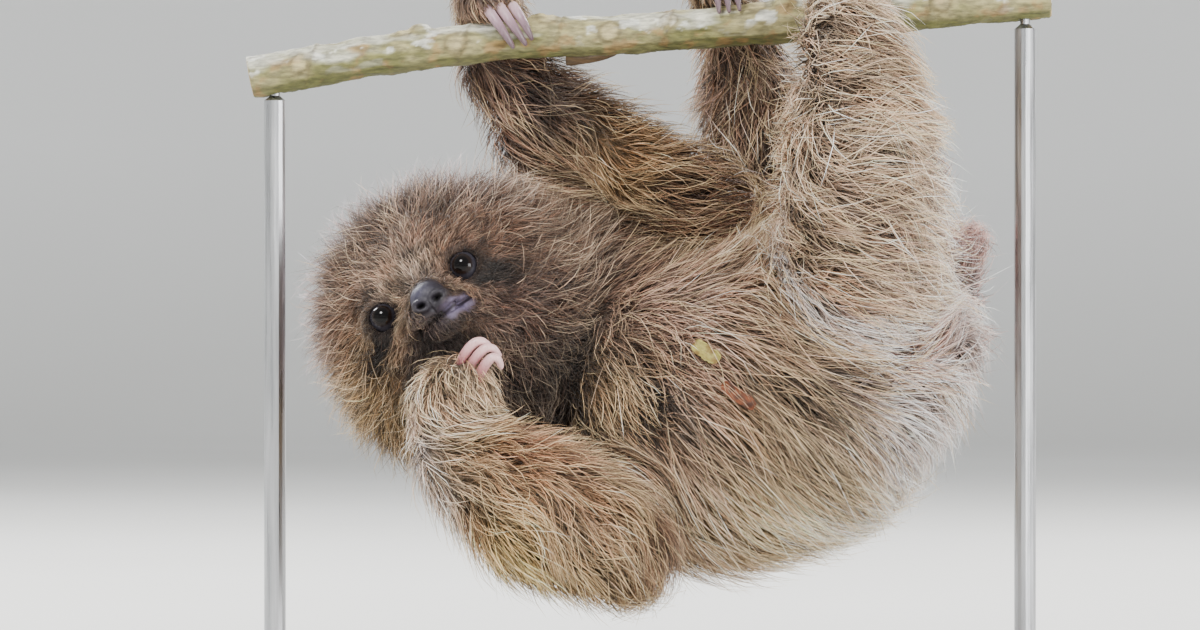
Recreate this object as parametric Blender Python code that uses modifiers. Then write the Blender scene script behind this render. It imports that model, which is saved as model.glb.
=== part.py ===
"""A juvenile three-toed sloth hanging under a cut branch, as a still life-size museum model.

The animal hangs on its back, head to -X and rump to +X, with its right side toward -Y. The
branch rests on two steel rods that stand in a flat wooden base, whose underside is at z = 0.
Every body part is drawn out to the tips of the coat. Lengths are in metres.
"""
import math

import bmesh
import bpy
from mathutils import Matrix, Vector

MM = 0.001
GAP = 0.3 * MM            # clearance where two pieces meet
CUT = 0.5 * MM            # width of the saw cut between two parts of one limb
VOXEL = 2.6 * MM          # fineness of the blended flesh before it is thinned out
FLESH_RATIO = 0.05        # share of the blended flesh's faces that is kept
MUZZLE_VOXEL = 0.9 * MM
MUZZLE_RATIO = 0.09
WELD_STEPS = (0.08 * MM, 0.04 * MM, 0.02 * MM, 0.008 * MM, 0.0)

# ---- the branch (perch) -------------------------------------------------------------------
BRANCH_LENGTH = 256 * MM
BRANCH_RADIUS = 6.6 * MM
BRANCH_MID_Z = 229.4 * MM
BRANCH_LEFT_DROP = 14.4 * MM      # how far the left end hangs below the middle
BRANCH_RIGHT_RISE = 10.8 * MM
BRANCH_RINGS = 16
KNOT_PLACES = ((-73, 5.0), (-36, 4.2), (43, 6.2), (100, 4.4))     # along X, radius, in mm

# ---- the display stand --------------------------------------------------------------------
BASE_LENGTH = 270 * MM
BASE_DEPTH = 190 * MM
BASE_HEIGHT = 18 * MM
BASE_CORNER = 4 * MM
ROD_RADIUS = 3.5 * MM
ROD_X = 120 * MM
ROD_PIN_RADIUS = 1.6 * MM
ROD_PIN_LENGTH = 4.5 * MM
ROD_FLANGE_RADIUS = 10 * MM
ROD_FLANGE_HEIGHT = 2.5 * MM
ROD_SOCKET_DEPTH = 10 * MM

# ---- the head -----------------------------------------------------------------------------
HEAD_CENTRE = Vector((-64.8, -8, 140.2)) * MM
HEAD_ROLL = math.radians(-31.9)
HEAD_PITCH = math.radians(-17)
HEAD_YAW = math.radians(-3.5)
HEAD_SIZE = Vector((45, 40, 45)) * MM      # half width, half depth, half height
EYE_RADIUS = 4.6 * MM
EYE_SPREAD = 15.0 * MM                     # from the middle of the face to each eye
EYE_FORWARD = 34.5 * MM
EYE_UP = -1.6 * MM


def v(x, y, z):
    """A point given in millimetres, as a vector in metres."""
    return Vector((x, y, z)) * MM


# ---- collections, materials and small tools -----------------------------------------------
def clear_scene():
    for thing in list(bpy.data.objects):
        bpy.data.objects.remove(thing, do_unlink=True)


def new_collection(name):
    collection = bpy.data.collections.new(name)
    bpy.context.scene.collection.children.link(collection)
    return collection


def new_material(name, colour, roughness, metallic=0.0):
    material = bpy.data.materials.new(name)
    material.use_nodes = True
    shader = material.node_tree.nodes["Principled BSDF"]
    shader.inputs["Base Color"].default_value = (*colour, 1.0)
    shader.inputs["Roughness"].default_value = roughness
    shader.inputs["Metallic"].default_value = metallic
    return material


def new_object(name, mesh, collection):
    thing = bpy.data.objects.new(name, mesh)
    collection.objects.link(thing)
    return thing


def mesh_from(bm, name):
    mesh = bpy.data.meshes.new(name)
    bm.to_mesh(mesh)
    bm.free()
    return mesh


def evaluated_mesh(thing):
    """The object's mesh with all of its modifiers worked in, in world space."""
    bpy.context.view_layer.update()
    depsgraph = bpy.context.evaluated_depsgraph_get()
    mesh = bpy.data.meshes.new_from_object(thing.evaluated_get(depsgraph))
    mesh.transform(thing.matrix_world)
    return mesh


def remove(thing):
    bpy.data.objects.remove(thing, do_unlink=True)


def tidied(mesh, weld):
    """The mesh in triangles, with what lies closer than the weld distance drawn together."""
    bm = bmesh.new()
    bm.from_mesh(mesh)
    if weld > 0:
        bmesh.ops.remove_doubles(bm, verts=bm.verts, dist=weld)
        bmesh.ops.triangulate(bm, faces=bm.faces)
        bmesh.ops.dissolve_degenerate(bm, dist=weld / 2, edges=bm.edges)
    bmesh.ops.triangulate(bm, faces=bm.faces)
    bmesh.ops.recalc_face_normals(bm, faces=bm.faces)
    return bm


def finish_mesh(mesh):
    """Triangulate and clean the mesh as far as it stays one closed skin."""
    for weld in WELD_STEPS:
        bm = tidied(mesh, weld)
        if all(edge.is_manifold for edge in bm.edges):
            break
        bm.free()
        bm = None
    if bm is not None:
        bm.to_mesh(mesh)
        bm.free()
    mesh.shade_smooth()
    mesh.set_sharp_from_angle(angle=math.radians(40))


def boolean(thing, cutter, operation):
    """Work one Boolean into the object's mesh and leave it in world space."""
    step = thing.modifiers.new("cut", "BOOLEAN")
    step.operation = operation
    step.solver = "EXACT"
    step.object = cutter
    mesh = evaluated_mesh(thing)
    thing.modifiers.remove(step)
    thing.matrix_world = Matrix.Identity(4)
    thing.data = mesh


# ---- flesh: rounded shapes blended into one body, then parted by thin cuts ------------------
def add_ball(bm, centre, size, turn=None, segments=32):
    """An ellipsoid, with half sizes along its own axes."""
    place = Matrix.Translation(centre)
    if turn is not None:
        place = place @ turn
    place = place @ Matrix.Diagonal((*size, 1.0))
    bmesh.ops.create_uvsphere(
        bm, u_segments=segments, v_segments=segments * 5 // 8, radius=1.0, matrix=place)


def add_link(bm, start, start_radius, end, end_radius):
    """A tapered rounded link: the hull of a ball at each end."""
    hull = bmesh.new()
    for centre, radius in ((start, start_radius), (end, end_radius)):
        add_ball(hull, centre, (radius, radius, radius))
    found = bmesh.ops.convex_hull(hull, input=hull.verts)
    loose = [item for item in found["geom_interior"] if isinstance(item, bmesh.types.BMVert)]
    bmesh.ops.delete(hull, geom=loose, context="VERTS")
    mesh = mesh_from(hull, "hull")
    bm.from_mesh(mesh)
    bpy.data.meshes.remove(mesh)


def add_limb(bm, joints):
    """Rounded links from joint to joint, each joint a point and a radius in millimetres."""
    for (start, start_radius), (end, end_radius) in zip(joints, joints[1:]):
        add_link(bm, v(*start), start_radius * MM, v(*end), end_radius * MM)


def blend(name, bm, collection, ratio=FLESH_RATIO, smoothing=12, voxel=VOXEL):
    """Blend all the shapes in bm into one closed, smooth body."""
    whole = new_object(name, mesh_from(bm, name), collection)
    remesh = whole.modifiers.new("blend", "REMESH")
    remesh.mode = "VOXEL"
    remesh.voxel_size = voxel
    smooth = whole.modifiers.new("soften", "SMOOTH")
    smooth.factor = 0.5
    smooth.iterations = smoothing
    thin = whole.modifiers.new("thin", "DECIMATE")
    thin.ratio = ratio
    mesh = evaluated_mesh(whole)
    whole.modifiers.clear()
    whole.data = mesh
    return whole


def saw_cuts(whole, cuts, cutters):
    """Part the body with thin flat cuts, each through a point and square to its normal."""
    bm = bmesh.new()
    for point, normal, reach in cuts:
        turn = Vector(normal).to_track_quat("Z", "Y").to_matrix().to_4x4()
        size = Matrix.Diagonal((reach * MM, reach * MM, CUT, 1.0))
        place = Matrix.Translation(v(*point)) @ turn @ size
        bmesh.ops.create_cube(bm, size=1.0, matrix=place)
    cutter = new_object(whole.name + "_cuts", mesh_from(bm, "cuts"), cutters)
    boolean(whole, cutter, "DIFFERENCE")


def room_for(name, things, cutters):
    """A cutter that holds the given pieces with the clearance added all round."""
    bm = bmesh.new()
    for thing in things:
        mesh = evaluated_mesh(thing)
        bm.from_mesh(mesh)
        bpy.data.meshes.remove(mesh)
    bm.normal_update()
    for vert in bm.verts:
        vert.co += vert.normal * GAP * 1.25
    return new_object(name + "_room", mesh_from(bm, name + "_room"), cutters)


def islands(bm):
    """The separate closed bodies of a mesh, as lists of faces."""
    left = set(bm.faces)
    found = []
    while left:
        body = {left.pop()}
        edge_of_search = list(body)
        while edge_of_search:
            face = edge_of_search.pop()
            for edge in face.edges:
                for near in edge.link_faces:
                    if near in left:
                        left.discard(near)
                        body.add(near)
                        edge_of_search.append(near)
        found.append(list(body))
    return found


def middle_of(faces):
    total = Vector()
    area = 0.0
    for face in faces:
        share = face.calc_area()
        total += face.calc_center_median() * share
        area += share
    return total / area


def part_out(whole, named_places, collection, material):
    """Give each body that the cuts left the name whose place is nearest to its middle."""
    bm = bmesh.new()
    bm.from_mesh(whole.data)
    bodies = [body for body in islands(bm) if len(body) > 40]
    parts = []
    for name, place in named_places:
        target = v(*place)
        body = min(bodies, key=lambda faces: (middle_of(faces) - target).length)
        bodies.remove(body)
        piece = bm.copy()
        piece.faces.ensure_lookup_table()
        bm.faces.index_update()
        kept = {face.index for face in body}
        spare = [face for face in piece.faces if face.index not in kept]
        bmesh.ops.delete(piece, geom=spare, context="FACES")
        mesh = mesh_from(piece, name)
        finish_mesh(mesh)
        mesh.materials.clear()
        mesh.materials.append(material)
        parts.append(new_object(name, mesh, collection))
    bm.free()
    remove(whole)
    return parts


# ---- head, neck, trunk and tail -----------------------------------------------------------
def head_matrix():
    """From the head's own frame, face toward -Y and crown toward +Z, to its place."""
    roll = Matrix.Rotation(HEAD_ROLL, 4, "Y")
    pitch = Matrix.Rotation(HEAD_PITCH, 4, "X")
    yaw = Matrix.Rotation(HEAD_YAW, 4, "Z")
    return Matrix.Translation(HEAD_CENTRE) @ roll @ pitch @ yaw


def in_head(x, y, z):
    return head_matrix() @ v(x, y, z)


def head_turn():
    return head_matrix().to_3x3().to_4x4()


def add_head(bm):
    add_ball(bm, HEAD_CENTRE, HEAD_SIZE, head_turn())
    add_ball(bm, in_head(10, -4, -12), (36 * MM, 33 * MM, 36 * MM), head_turn())
    add_ball(bm, in_head(-12, -6, -14), (34 * MM, 31 * MM, 34 * MM), head_turn())
    add_ball(bm, in_head(21, 3, 9), (27 * MM, 30 * MM, 28 * MM), head_turn())


def add_trunk(bm):
    spine = (
        ((-20.8, 0, 121.6), 34),
        ((-3.2, 0, 110.4), 46),
        ((19.2, 0, 108.2), 52),
        ((43.2, 0, 114.2), 49),
        ((62.4, 0, 128.0), 44),
        ((76.9, 2, 139.2), 31),
    )
    add_limb(bm, spine)
    add_limb(bm, (((-16, 4, 128), 37), ((-35, 16, 143), 34), ((-55, 6, 143), 34)))


def add_tail(bm):
    add_limb(bm, (((84, 4, 146), 12), ((90, 5, 151), 11), ((100.2, 6, 160.1), 9.5)))


def make_core(collection, cutters, material):
    """Head, neck, trunk and tail as one body, parted; also the room that it takes up."""
    bm = bmesh.new()
    add_head(bm)
    add_trunk(bm)
    add_tail(bm)
    core = blend("core", bm, collection)
    room = room_for("core", [core], cutters)
    cuts = (
        ((-27, 6, 134), (0.93, 0.2, -0.3), 150),
        ((-8, 0, 122), (0.9, 0.1, -0.42), 150),
        ((15, 0, 108), (1, 0, 0), 150),
        ((53, 0, 122), (0.85, 0, 0.5), 150),
        ((93, 5, 153), (0.72, 0, 0.69), 60),
    )
    saw_cuts(core, cuts, cutters)
    places = (
        ("head", (-65, -8, 140)),
        ("neck", (-20, 0, 130)),
        ("chest", (0, 0, 110)),
        ("belly", (33, 0, 112)),
        ("rump", (75, 0, 135)),
        ("tail", (100, 6, 160)),
    )
    return part_out(core, places, collection, material), room


def make_muzzle(collection, cutters, material, rooms):
    """The short snout: broad lips below, a narrow bridge above and the nose at its tip."""
    bm = bmesh.new()
    turn = head_turn()
    add_ball(bm, in_head(0, -36, -10), Vector((14, 9, 9.5)) * MM, turn)
    add_ball(bm, in_head(0.2, -42.5, -10), Vector((9.2, 8.6, 7)) * MM, turn)
    add_ball(bm, in_head(1.5, -38, -17), Vector((8, 5.5, 4)) * MM, turn)
    add_link(bm, in_head(1, -35.5, -1.5), 4.2 * MM, in_head(0, -44.5, -7.5), 5.4 * MM)
    muzzle = blend("muzzle_whole", bm, collection, MUZZLE_RATIO, 4, MUZZLE_VOXEL)
    for room in rooms:
        boolean(muzzle, room, "DIFFERENCE")
    place = in_head(0, -43, -9) / MM
    return part_out(muzzle, (("muzzle", place),), collection, material)


# ---- limbs --------------------------------------------------------------------------------
def make_limb(name, joints, cuts, places, collection, cutters, material, rooms):
    """One limb as one body, kept clear of what it touches, then parted at its joints."""
    bm = bmesh.new()
    for chain in joints:
        add_limb(bm, chain)
    limb = blend(name, bm, collection)
    own_room = room_for(name, [limb], cutters)
    for room in rooms:
        boolean(limb, room, "DIFFERENCE")
    saw_cuts(limb, cuts, cutters)
    part_out(limb, places, collection, material)
    return own_room


def make_right_arm(collection, cutters, material, rooms):
    """The near arm, folded with the hand raised under the chin."""
    joints = (
        (((-16, -26, 92), 17), ((-9, -50, 66), 16.7)),
        (((-8, -57, 66), 16.5), ((-34.5, -64, 78), 24), ((-60.9, -66, 95.8), 16)),
        (((-60.9, -66, 96), 14.5), ((-61.7, -66, 111.3), 14.3), ((-58.5, -64.5, 119.5), 10.3)),
    )
    cuts = (
        ((-22, -48.6, 80), (0.49, 0.85, 0.19), 90),
        ((-62, -66, 107), (-0.1, 0, 1), 40),
    )
    places = (
        ("upper_arm_right", (-20, -40, 86)),
        ("forearm_right", (-36, -66, 80)),
        ("hand_right", (-60, -65, 114)),
    )
    return make_limb("arm_right", joints, cuts, places, collection, cutters, material, rooms)


def make_left_arm(collection, cutters, material, rooms):
    """The far arm, reaching up behind the branch."""
    joints = (
        (((-16, 30, 152), 20), ((18.5, 27, 170.5), 16.3)),
        (((18.5, 27, 174), 15.6), ((-19.2, 25, 197.7), 14.7), ((-48.3, 21, 218.3), 15.4)),
        (((-42, 25, 199), 12.5), ((-28, 28, 172), 16)),
        (((-46.7, 21, 221.6), 12), ((-50.9, 20, 236.1), 11), ((-52.9, 8, 243), 10.5),
         ((-53.7, -3, 241.4), 9)),
    )
    cuts = (
        ((0, 26, 174), (-0.04, 0.0, -0.96), 130),
        ((-50, 20, 227), (-0.2, 0, 1), 44),
    )
    places = (
        ("upper_arm_left", (0, 28, 162)),
        ("forearm_left", (-15, 25, 198)),
        ("hand_left", (-52, 10, 240)),
    )
    return make_limb("arm_left", joints, cuts, places, collection, cutters, material, rooms)


def make_right_leg(collection, cutters, material, rooms):
    """The near leg, rising in front of the branch with the foot hooked over it."""
    joints = (
        (((64.7, -20, 143.9), 29), ((66.5, -40, 176.8), 26)),
        (((66.0, -40, 185.5), 26), ((65.0, -30, 213.4), 19.6), ((62.6, -21, 235.9), 14.4)),
        (((62.6, -21, 237.4), 12), ((62.3, -12, 246.4), 10), ((62.5, 3, 249.5), 9)),
    )
    cuts = (
        ((66, -40, 180), (0, -0.1, 1), 70),
        ((62.6, -20, 240), (0, 0.35, 1), 44),
    )
    places = (
        ("thigh_right", (65, -30, 160)),
        ("shank_right", (64, -32, 210)),
        ("foot_right", (62, -8, 247)),
    )
    return make_limb("leg_right", joints, cuts, places, collection, cutters, material, rooms)


def make_left_leg(collection, cutters, material, rooms):
    """The far leg, rising behind the branch with the foot hooked over it."""
    joints = (
        (((58.4, 22, 144.1), 28), ((42.6, 45, 175), 21)),
        (((41, 47, 181), 21), ((32, 34, 212.1), 17.5), ((27.6, 21, 231.2), 13.5)),
        (((27.6, 20, 231.2), 11), ((22.7, 17, 242.4), 10), ((19.9, 5, 247.2), 9.2)),
    )
    cuts = (
        ((42, 45, 178), (0.2, 0.1, -1), 70),
        ((27, 20, 235), (-0.3, -0.2, 1), 44),
    )
    places = (
        ("thigh_left", (50, 33, 160)),
        ("shank_left", (34, 38, 208)),
        ("foot_left", (21, 12, 245)),
    )
    return make_limb("leg_left", joints, cuts, places, collection, cutters, material, rooms)


# ---- eyes and claws -----------------------------------------------------------------------
def make_eye(name, side, collection, material):
    bm = bmesh.new()
    bmesh.ops.create_uvsphere(bm, u_segments=14, v_segments=9, radius=EYE_RADIUS)
    mesh = mesh_from(bm, name)
    mesh.shade_smooth()
    mesh.materials.append(material)
    eye = new_object(name, mesh, collection)
    eye.location = head_matrix() @ Vector((side * EYE_SPREAD, -EYE_FORWARD, EYE_UP))
    return eye


def open_socket(head, eye, cutters):
    """A rounded pocket in the short face coat, so that the eye looks out."""
    bm = bmesh.new()
    outward = (head_matrix().to_3x3() @ Vector((0, -1, 0))).normalized()
    turn = outward.to_track_quat("Z", "Y").to_matrix().to_4x4()
    centre = eye.matrix_world.translation
    radius = EYE_RADIUS + GAP * 1.5
    bmesh.ops.create_uvsphere(
        bm, u_segments=14, v_segments=9, radius=radius, matrix=Matrix.Translation(centre))
    mesh = mesh_from(bm, "socket")
    socket = new_object("socket", mesh, cutters)
    boolean(head, socket, "DIFFERENCE")
    remove(socket)
    bm = bmesh.new()
    place = Matrix.Translation(centre + outward * 5 * MM) @ turn
    bmesh.ops.create_cone(
        bm, cap_ends=True, segments=14, radius1=radius * 0.99, radius2=radius * 1.25,
        depth=10 * MM, matrix=place)
    mouth = new_object("socket_mouth", mesh_from(bm, "socket_mouth"), cutters)
    boolean(head, mouth, "DIFFERENCE")
    remove(mouth)
    finish_mesh(head.data)


def make_claw(name, base, bend, tip, width, collection, material, taper=0.72):
    """A curved claw that narrows from its base to a blunt tip, along one bent line."""
    curve = bpy.data.curves.new(name, "CURVE")
    curve.dimensions = "3D"
    curve.bevel_depth = width / 2
    curve.bevel_resolution = 1
    curve.use_fill_caps = True
    steps = 7
    spline = curve.splines.new("POLY")
    spline.points.add(steps)
    for index, point in enumerate(spline.points):
        t = index / steps
        place = base * (1 - t) ** 2 + bend * 2 * t * (1 - t) + tip * t ** 2
        point.co = (*place, 1.0)
        point.radius = 1.0 - taper * t ** 2.2
    thing = new_object(name + "_curve", curve, collection)
    mesh = evaluated_mesh(thing)
    remove(thing)
    bm = bmesh.new()
    bm.from_mesh(mesh)
    bmesh.ops.remove_doubles(bm, verts=bm.verts, dist=0.02 * MM)
    bm.to_mesh(mesh)
    bm.free()
    mesh.name = name
    finish_mesh(mesh)
    mesh.materials.clear()
    mesh.materials.append(material)
    return new_object(name, mesh, collection)


def branch_centre(x):
    """The branch's centre line: it sags to the left and rises slightly to the right."""
    side = x / (BRANCH_LENGTH / 2)
    if side < 0:
        drop = BRANCH_LEFT_DROP * (0.2 * -side + 0.8 * side * side)
        return Vector((x, 0, BRANCH_MID_Z - drop))
    return Vector((x, 0, BRANCH_MID_Z + BRANCH_RIGHT_RISE * side))


def round_branch(x, radius, angle):
    """A point beside the branch; the angle goes from its top, through -Y, downward."""
    centre = branch_centre(x * MM)
    turn = math.radians(angle)
    return centre + Vector((0, -math.sin(turn), math.cos(turn))) * radius * MM


def make_hooked_claws(limb, toes, collection, material):
    """Three claws that hook round the branch, each from (x, radius, angle) to its tip."""
    claws = []
    for number, (base, bend, tip, width) in enumerate(toes, start=1):
        places = [round_branch(*place) for place in (base, bend, tip)]
        name = f"claw_{limb}_{number}"
        claws.append(make_claw(name, *places, width * MM, collection, material))
    return claws


def make_claws(collection, material):
    claws = []
    claws += make_hooked_claws("hand_left", (
        ((-52.5, 12.0, 20), (-49, 13.5, 62), (-43.5, 8.9, 108), 3.2),
        ((-48.3, 12.0, 20), (-45, 13.5, 62), (-39.5, 8.9, 104), 3.2),
        ((-44.1, 12.0, 20), (-41, 13.5, 60), (-37.6, 8.9, 94), 3.0),
    ), collection, material)
    claws += make_hooked_claws("foot_left", (
        ((20.5, 14, -5), (21.2, 14, 30), (22.0, 8.0, 58), 2.2),
        ((23.3, 14, -5), (24.2, 14, 30), (25.2, 8.0, 58), 2.2),
        ((26.2, 14, -5), (27.4, 14, 30), (28.6, 8.0, 56), 2.2),
    ), collection, material)
    claws += make_hooked_claws("foot_right", (
        ((57.5, 14, -50), (57.2, 15, -85), (57.4, 8.9, -118), 3.2),
        ((62.0, 14, -50), (62.0, 15, -85), (62.0, 8.9, -120), 3.2),
        ((66.5, 14, -50), (66.8, 15, -85), (66.6, 8.9, -116), 3.2),
    ), collection, material)
    curled = (
        ((-61.0, -66.0, 120.5), (-54.6, -73.5, 136.6), (-49.6, -68.5, 128.5)),
        ((-58.2, -66.5, 118.9), (-51.2, -75.5, 134.8), (-47.0, -70.0, 126.3)),
        ((-55.3, -67.0, 116.6), (-48.6, -77.5, 132.0), (-46.4, -71.5, 122.9)),
    )
    for number, places in enumerate(curled, start=1):
        base, bend, tip = [v(*place) for place in places]
        name = f"claw_hand_right_{number}"
        claws.append(make_claw(name, base, bend, tip, 2.9 * MM, collection, material, taper=0.5))
    return claws


# ---- branch and stand ---------------------------------------------------------------------
def branch_radius(x):
    """A slow swell and taper along the branch."""
    return BRANCH_RADIUS * (1 + 0.03 * math.sin(x / (23 * MM)))


def make_perch(collection, cutters, material):
    curve = bpy.data.curves.new("perch", "CURVE")
    curve.dimensions = "3D"
    curve.bevel_depth = 1.0
    curve.bevel_resolution = 3
    curve.use_fill_caps = True
    spline = curve.splines.new("POLY")
    spline.points.add(BRANCH_RINGS)
    for index, point in enumerate(spline.points):
        x = BRANCH_LENGTH * (index / BRANCH_RINGS - 0.5)
        point.co = (*branch_centre(x), 1.0)
        point.radius = branch_radius(x)
    thing = new_object("perch_curve", curve, collection)
    mesh = evaluated_mesh(thing)
    remove(thing)
    bm = bmesh.new()
    bm.from_mesh(mesh)
    bmesh.ops.remove_doubles(bm, verts=bm.verts, dist=0.02 * MM)
    bm.to_mesh(mesh)
    bm.free()
    perch = new_object("perch", mesh, collection)
    for place, radius in KNOT_PLACES:
        add_knot(perch, place, radius, cutters)
    return perch


def add_knot(perch, place, radius, cutters):
    """A rounded leaf scar that stands a little out of the bark."""
    bm = bmesh.new()
    centre = branch_centre(place * MM) + v(0, -1.2, 3.2)
    size = Vector((radius, radius * 0.8, radius)) * MM
    add_ball(bm, centre, size, segments=10)
    knot = new_object("knot", mesh_from(bm, "knot"), cutters)
    boolean(perch, knot, "UNION")
    remove(knot)


def make_twig(collection, material):
    """The broken stub of a side twig, behind and below the branch."""
    twig = make_claw("perch_twig", v(-27, 9.5, 221.5), v(-18, 10, 221), v(-9, 11, 224.5),
                     4.4 * MM, collection, material)
    return twig


def make_base(collection, cutters, material):
    bm = bmesh.new()
    size = Matrix.Diagonal((BASE_LENGTH, BASE_DEPTH, BASE_HEIGHT, 1.0))
    place = Matrix.Translation((0, 0, BASE_HEIGHT / 2)) @ size
    bmesh.ops.create_cube(bm, size=1.0, matrix=place)
    base = new_object("stand_base", mesh_from(bm, "stand_base"), collection)
    edge = base.modifiers.new("rounded edges", "BEVEL")
    edge.width = BASE_CORNER
    edge.segments = 2
    base.data = evaluated_mesh(base)
    base.modifiers.clear()
    for side in (-1, 1):
        bm = bmesh.new()
        place = Matrix.Translation((side * ROD_X, 0, BASE_HEIGHT))
        bmesh.ops.create_cone(
            bm, cap_ends=True, segments=16, radius1=ROD_RADIUS + GAP, radius2=ROD_RADIUS + GAP,
            depth=2 * (ROD_SOCKET_DEPTH + GAP), matrix=place)
        hole = new_object("hole", mesh_from(bm, "hole"), cutters)
        boolean(base, hole, "DIFFERENCE")
        remove(hole)
    finish_mesh(base.data)
    base.data.materials.append(material)
    return base


def rod_profile(top, grow):
    """Half section of a rod: a turned flange at the base and a thin pin at the top."""
    foot = BASE_HEIGHT - ROD_SOCKET_DEPTH
    flange = BASE_HEIGHT + GAP
    shoulder = top - BRANCH_RADIUS - 2.2 * GAP
    return (
        (0, foot),
        (ROD_RADIUS + grow, foot),
        (ROD_RADIUS + grow, flange),
        (ROD_FLANGE_RADIUS, flange),
        (ROD_FLANGE_RADIUS, flange + ROD_FLANGE_HEIGHT * 0.6),
        (ROD_RADIUS + grow + 0.6 * MM, flange + ROD_FLANGE_HEIGHT),
        (ROD_RADIUS + grow, flange + ROD_FLANGE_HEIGHT),
        (ROD_RADIUS + grow, shoulder - 1.5 * MM),
        (ROD_PIN_RADIUS + grow, shoulder),
        (ROD_PIN_RADIUS + grow, shoulder + ROD_PIN_LENGTH + grow),
        (0, shoulder + ROD_PIN_LENGTH + grow),
    )


def make_rod(name, side, grow, collection):
    """A rod turned about the vertical, from its half section."""
    top = branch_centre(side * ROD_X).z
    profile = [Vector((radius, 0, height)) for radius, height in rod_profile(top, grow)]
    bm = bmesh.new()
    verts = [bm.verts.new(point) for point in reversed(profile)]
    for start, end in zip(verts, verts[1:]):
        bm.edges.new((start, end))
    rod = new_object(name, mesh_from(bm, name), collection)
    rod.location = (side * ROD_X, 0, 0)
    screw = rod.modifiers.new("turned", "SCREW")
    screw.steps = 16
    screw.render_steps = 16
    screw.use_merge_vertices = True
    screw.merge_threshold = 0.00001
    rod.data = evaluated_mesh(rod)
    rod.modifiers.clear()
    rod.location = (0, 0, 0)
    finish_mesh(rod.data)
    return rod


def make_rods(perch, collection, cutters, material):
    rods = []
    for name, side in (("stand_rod_left", -1), ("stand_rod_right", 1)):
        room = make_rod("rod_room", side, GAP * 1.2, cutters)
        boolean(perch, room, "DIFFERENCE")
        remove(room)
        rod = make_rod(name, side, 0, collection)
        rod.data.materials.append(material)
        rods.append(rod)
    return rods


# ---- the model ----------------------------------------------------------------------------
def build():
    clear_scene()
    collection = new_collection("three_toed_sloth")
    cutters = new_collection("cutters")
    coat = new_material("coat", (0.36, 0.25, 0.15), 0.8)
    eye_black = new_material("eye", (0.01, 0.008, 0.007), 0.08)
    horn = new_material("claw_horn", (0.70, 0.56, 0.54), 0.35)
    bark = new_material("bark", (0.42, 0.40, 0.27), 0.85)
    wood = new_material("stand_wood", (0.18, 0.11, 0.06), 0.45)
    steel = new_material("stand_steel", (0.55, 0.55, 0.55), 0.3, 1.0)

    perch = make_perch(collection, cutters, bark)
    make_rods(perch, collection, cutters, steel)
    finish_mesh(perch.data)
    perch.data.materials.clear()
    perch.data.materials.append(bark)
    make_base(collection, cutters, wood)
    twig = make_twig(collection, bark)

    core, core_room = make_core(collection, cutters, coat)
    head = core[0]
    for name, side in (("eye_left", 1), ("eye_right", -1)):
        eye = make_eye(name, side, collection, eye_black)
        bpy.context.view_layer.update()
        open_socket(head, eye, cutters)
    make_muzzle(collection, cutters, coat, [core_room])

    claws = make_claws(collection, horn)
    rooms = [core_room, room_for("perch", [perch], cutters), room_for("twig", [twig], cutters)]
    rooms.append(room_for("claws", claws, cutters))
    make_right_arm(collection, cutters, coat, rooms)
    arm_left_room = make_left_arm(collection, cutters, coat, rooms)
    make_right_leg(collection, cutters, coat, rooms + [arm_left_room])
    make_left_leg(collection, cutters, coat, rooms + [arm_left_room])
    for cutter in cutters.objects:
        cutter.hide_render = True
        cutter.display_type = "WIRE"


build()
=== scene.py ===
import math

import bmesh
import bpy
import numpy as np
from mathutils import Matrix, Vector, noise
from mathutils.bvhtree import BVHTree
from mathutils.kdtree import KDTree


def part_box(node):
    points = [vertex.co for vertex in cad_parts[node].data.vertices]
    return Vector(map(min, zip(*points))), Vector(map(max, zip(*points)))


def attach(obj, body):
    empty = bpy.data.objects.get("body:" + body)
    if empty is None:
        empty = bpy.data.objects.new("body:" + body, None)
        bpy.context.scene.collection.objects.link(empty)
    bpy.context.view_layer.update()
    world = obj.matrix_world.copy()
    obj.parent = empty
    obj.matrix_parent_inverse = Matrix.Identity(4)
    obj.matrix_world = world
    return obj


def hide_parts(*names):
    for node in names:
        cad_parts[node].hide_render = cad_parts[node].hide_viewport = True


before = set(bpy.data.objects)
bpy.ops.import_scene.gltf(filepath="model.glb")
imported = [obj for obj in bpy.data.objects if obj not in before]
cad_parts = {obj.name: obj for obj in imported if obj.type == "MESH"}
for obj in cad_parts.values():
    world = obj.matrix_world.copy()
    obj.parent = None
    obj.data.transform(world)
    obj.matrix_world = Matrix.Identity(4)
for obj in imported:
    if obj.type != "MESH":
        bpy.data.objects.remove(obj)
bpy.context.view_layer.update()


# ---- The camera ----------------------------------------------------------------------------
# A long lens looks straight at the animal from its right side, level with its chin.
# It frames the branch, the animal and the upper part of the rods that hold the branch.
MM = 0.001
FRAME_WIDTH = 384 * MM
FRAME_MIDDLE = (-16 * MM, 139.2 * MM)
LENS_DISTANCE = 2.1
SENSOR_WIDTH = 36.0
camera_data = bpy.data.cameras.new("camera")
camera_data.sensor_width = SENSOR_WIDTH
camera_data.lens = SENSOR_WIDTH * LENS_DISTANCE / FRAME_WIDTH
camera_data.clip_end = 40.0
camera = bpy.data.objects.new("camera", camera_data)
camera.location = (FRAME_MIDDLE[0], -LENS_DISTANCE, FRAME_MIDDLE[1])
camera.rotation_euler = (math.radians(90), 0, 0)
bpy.context.scene.collection.objects.link(camera)
bpy.context.scene.camera = camera


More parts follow.
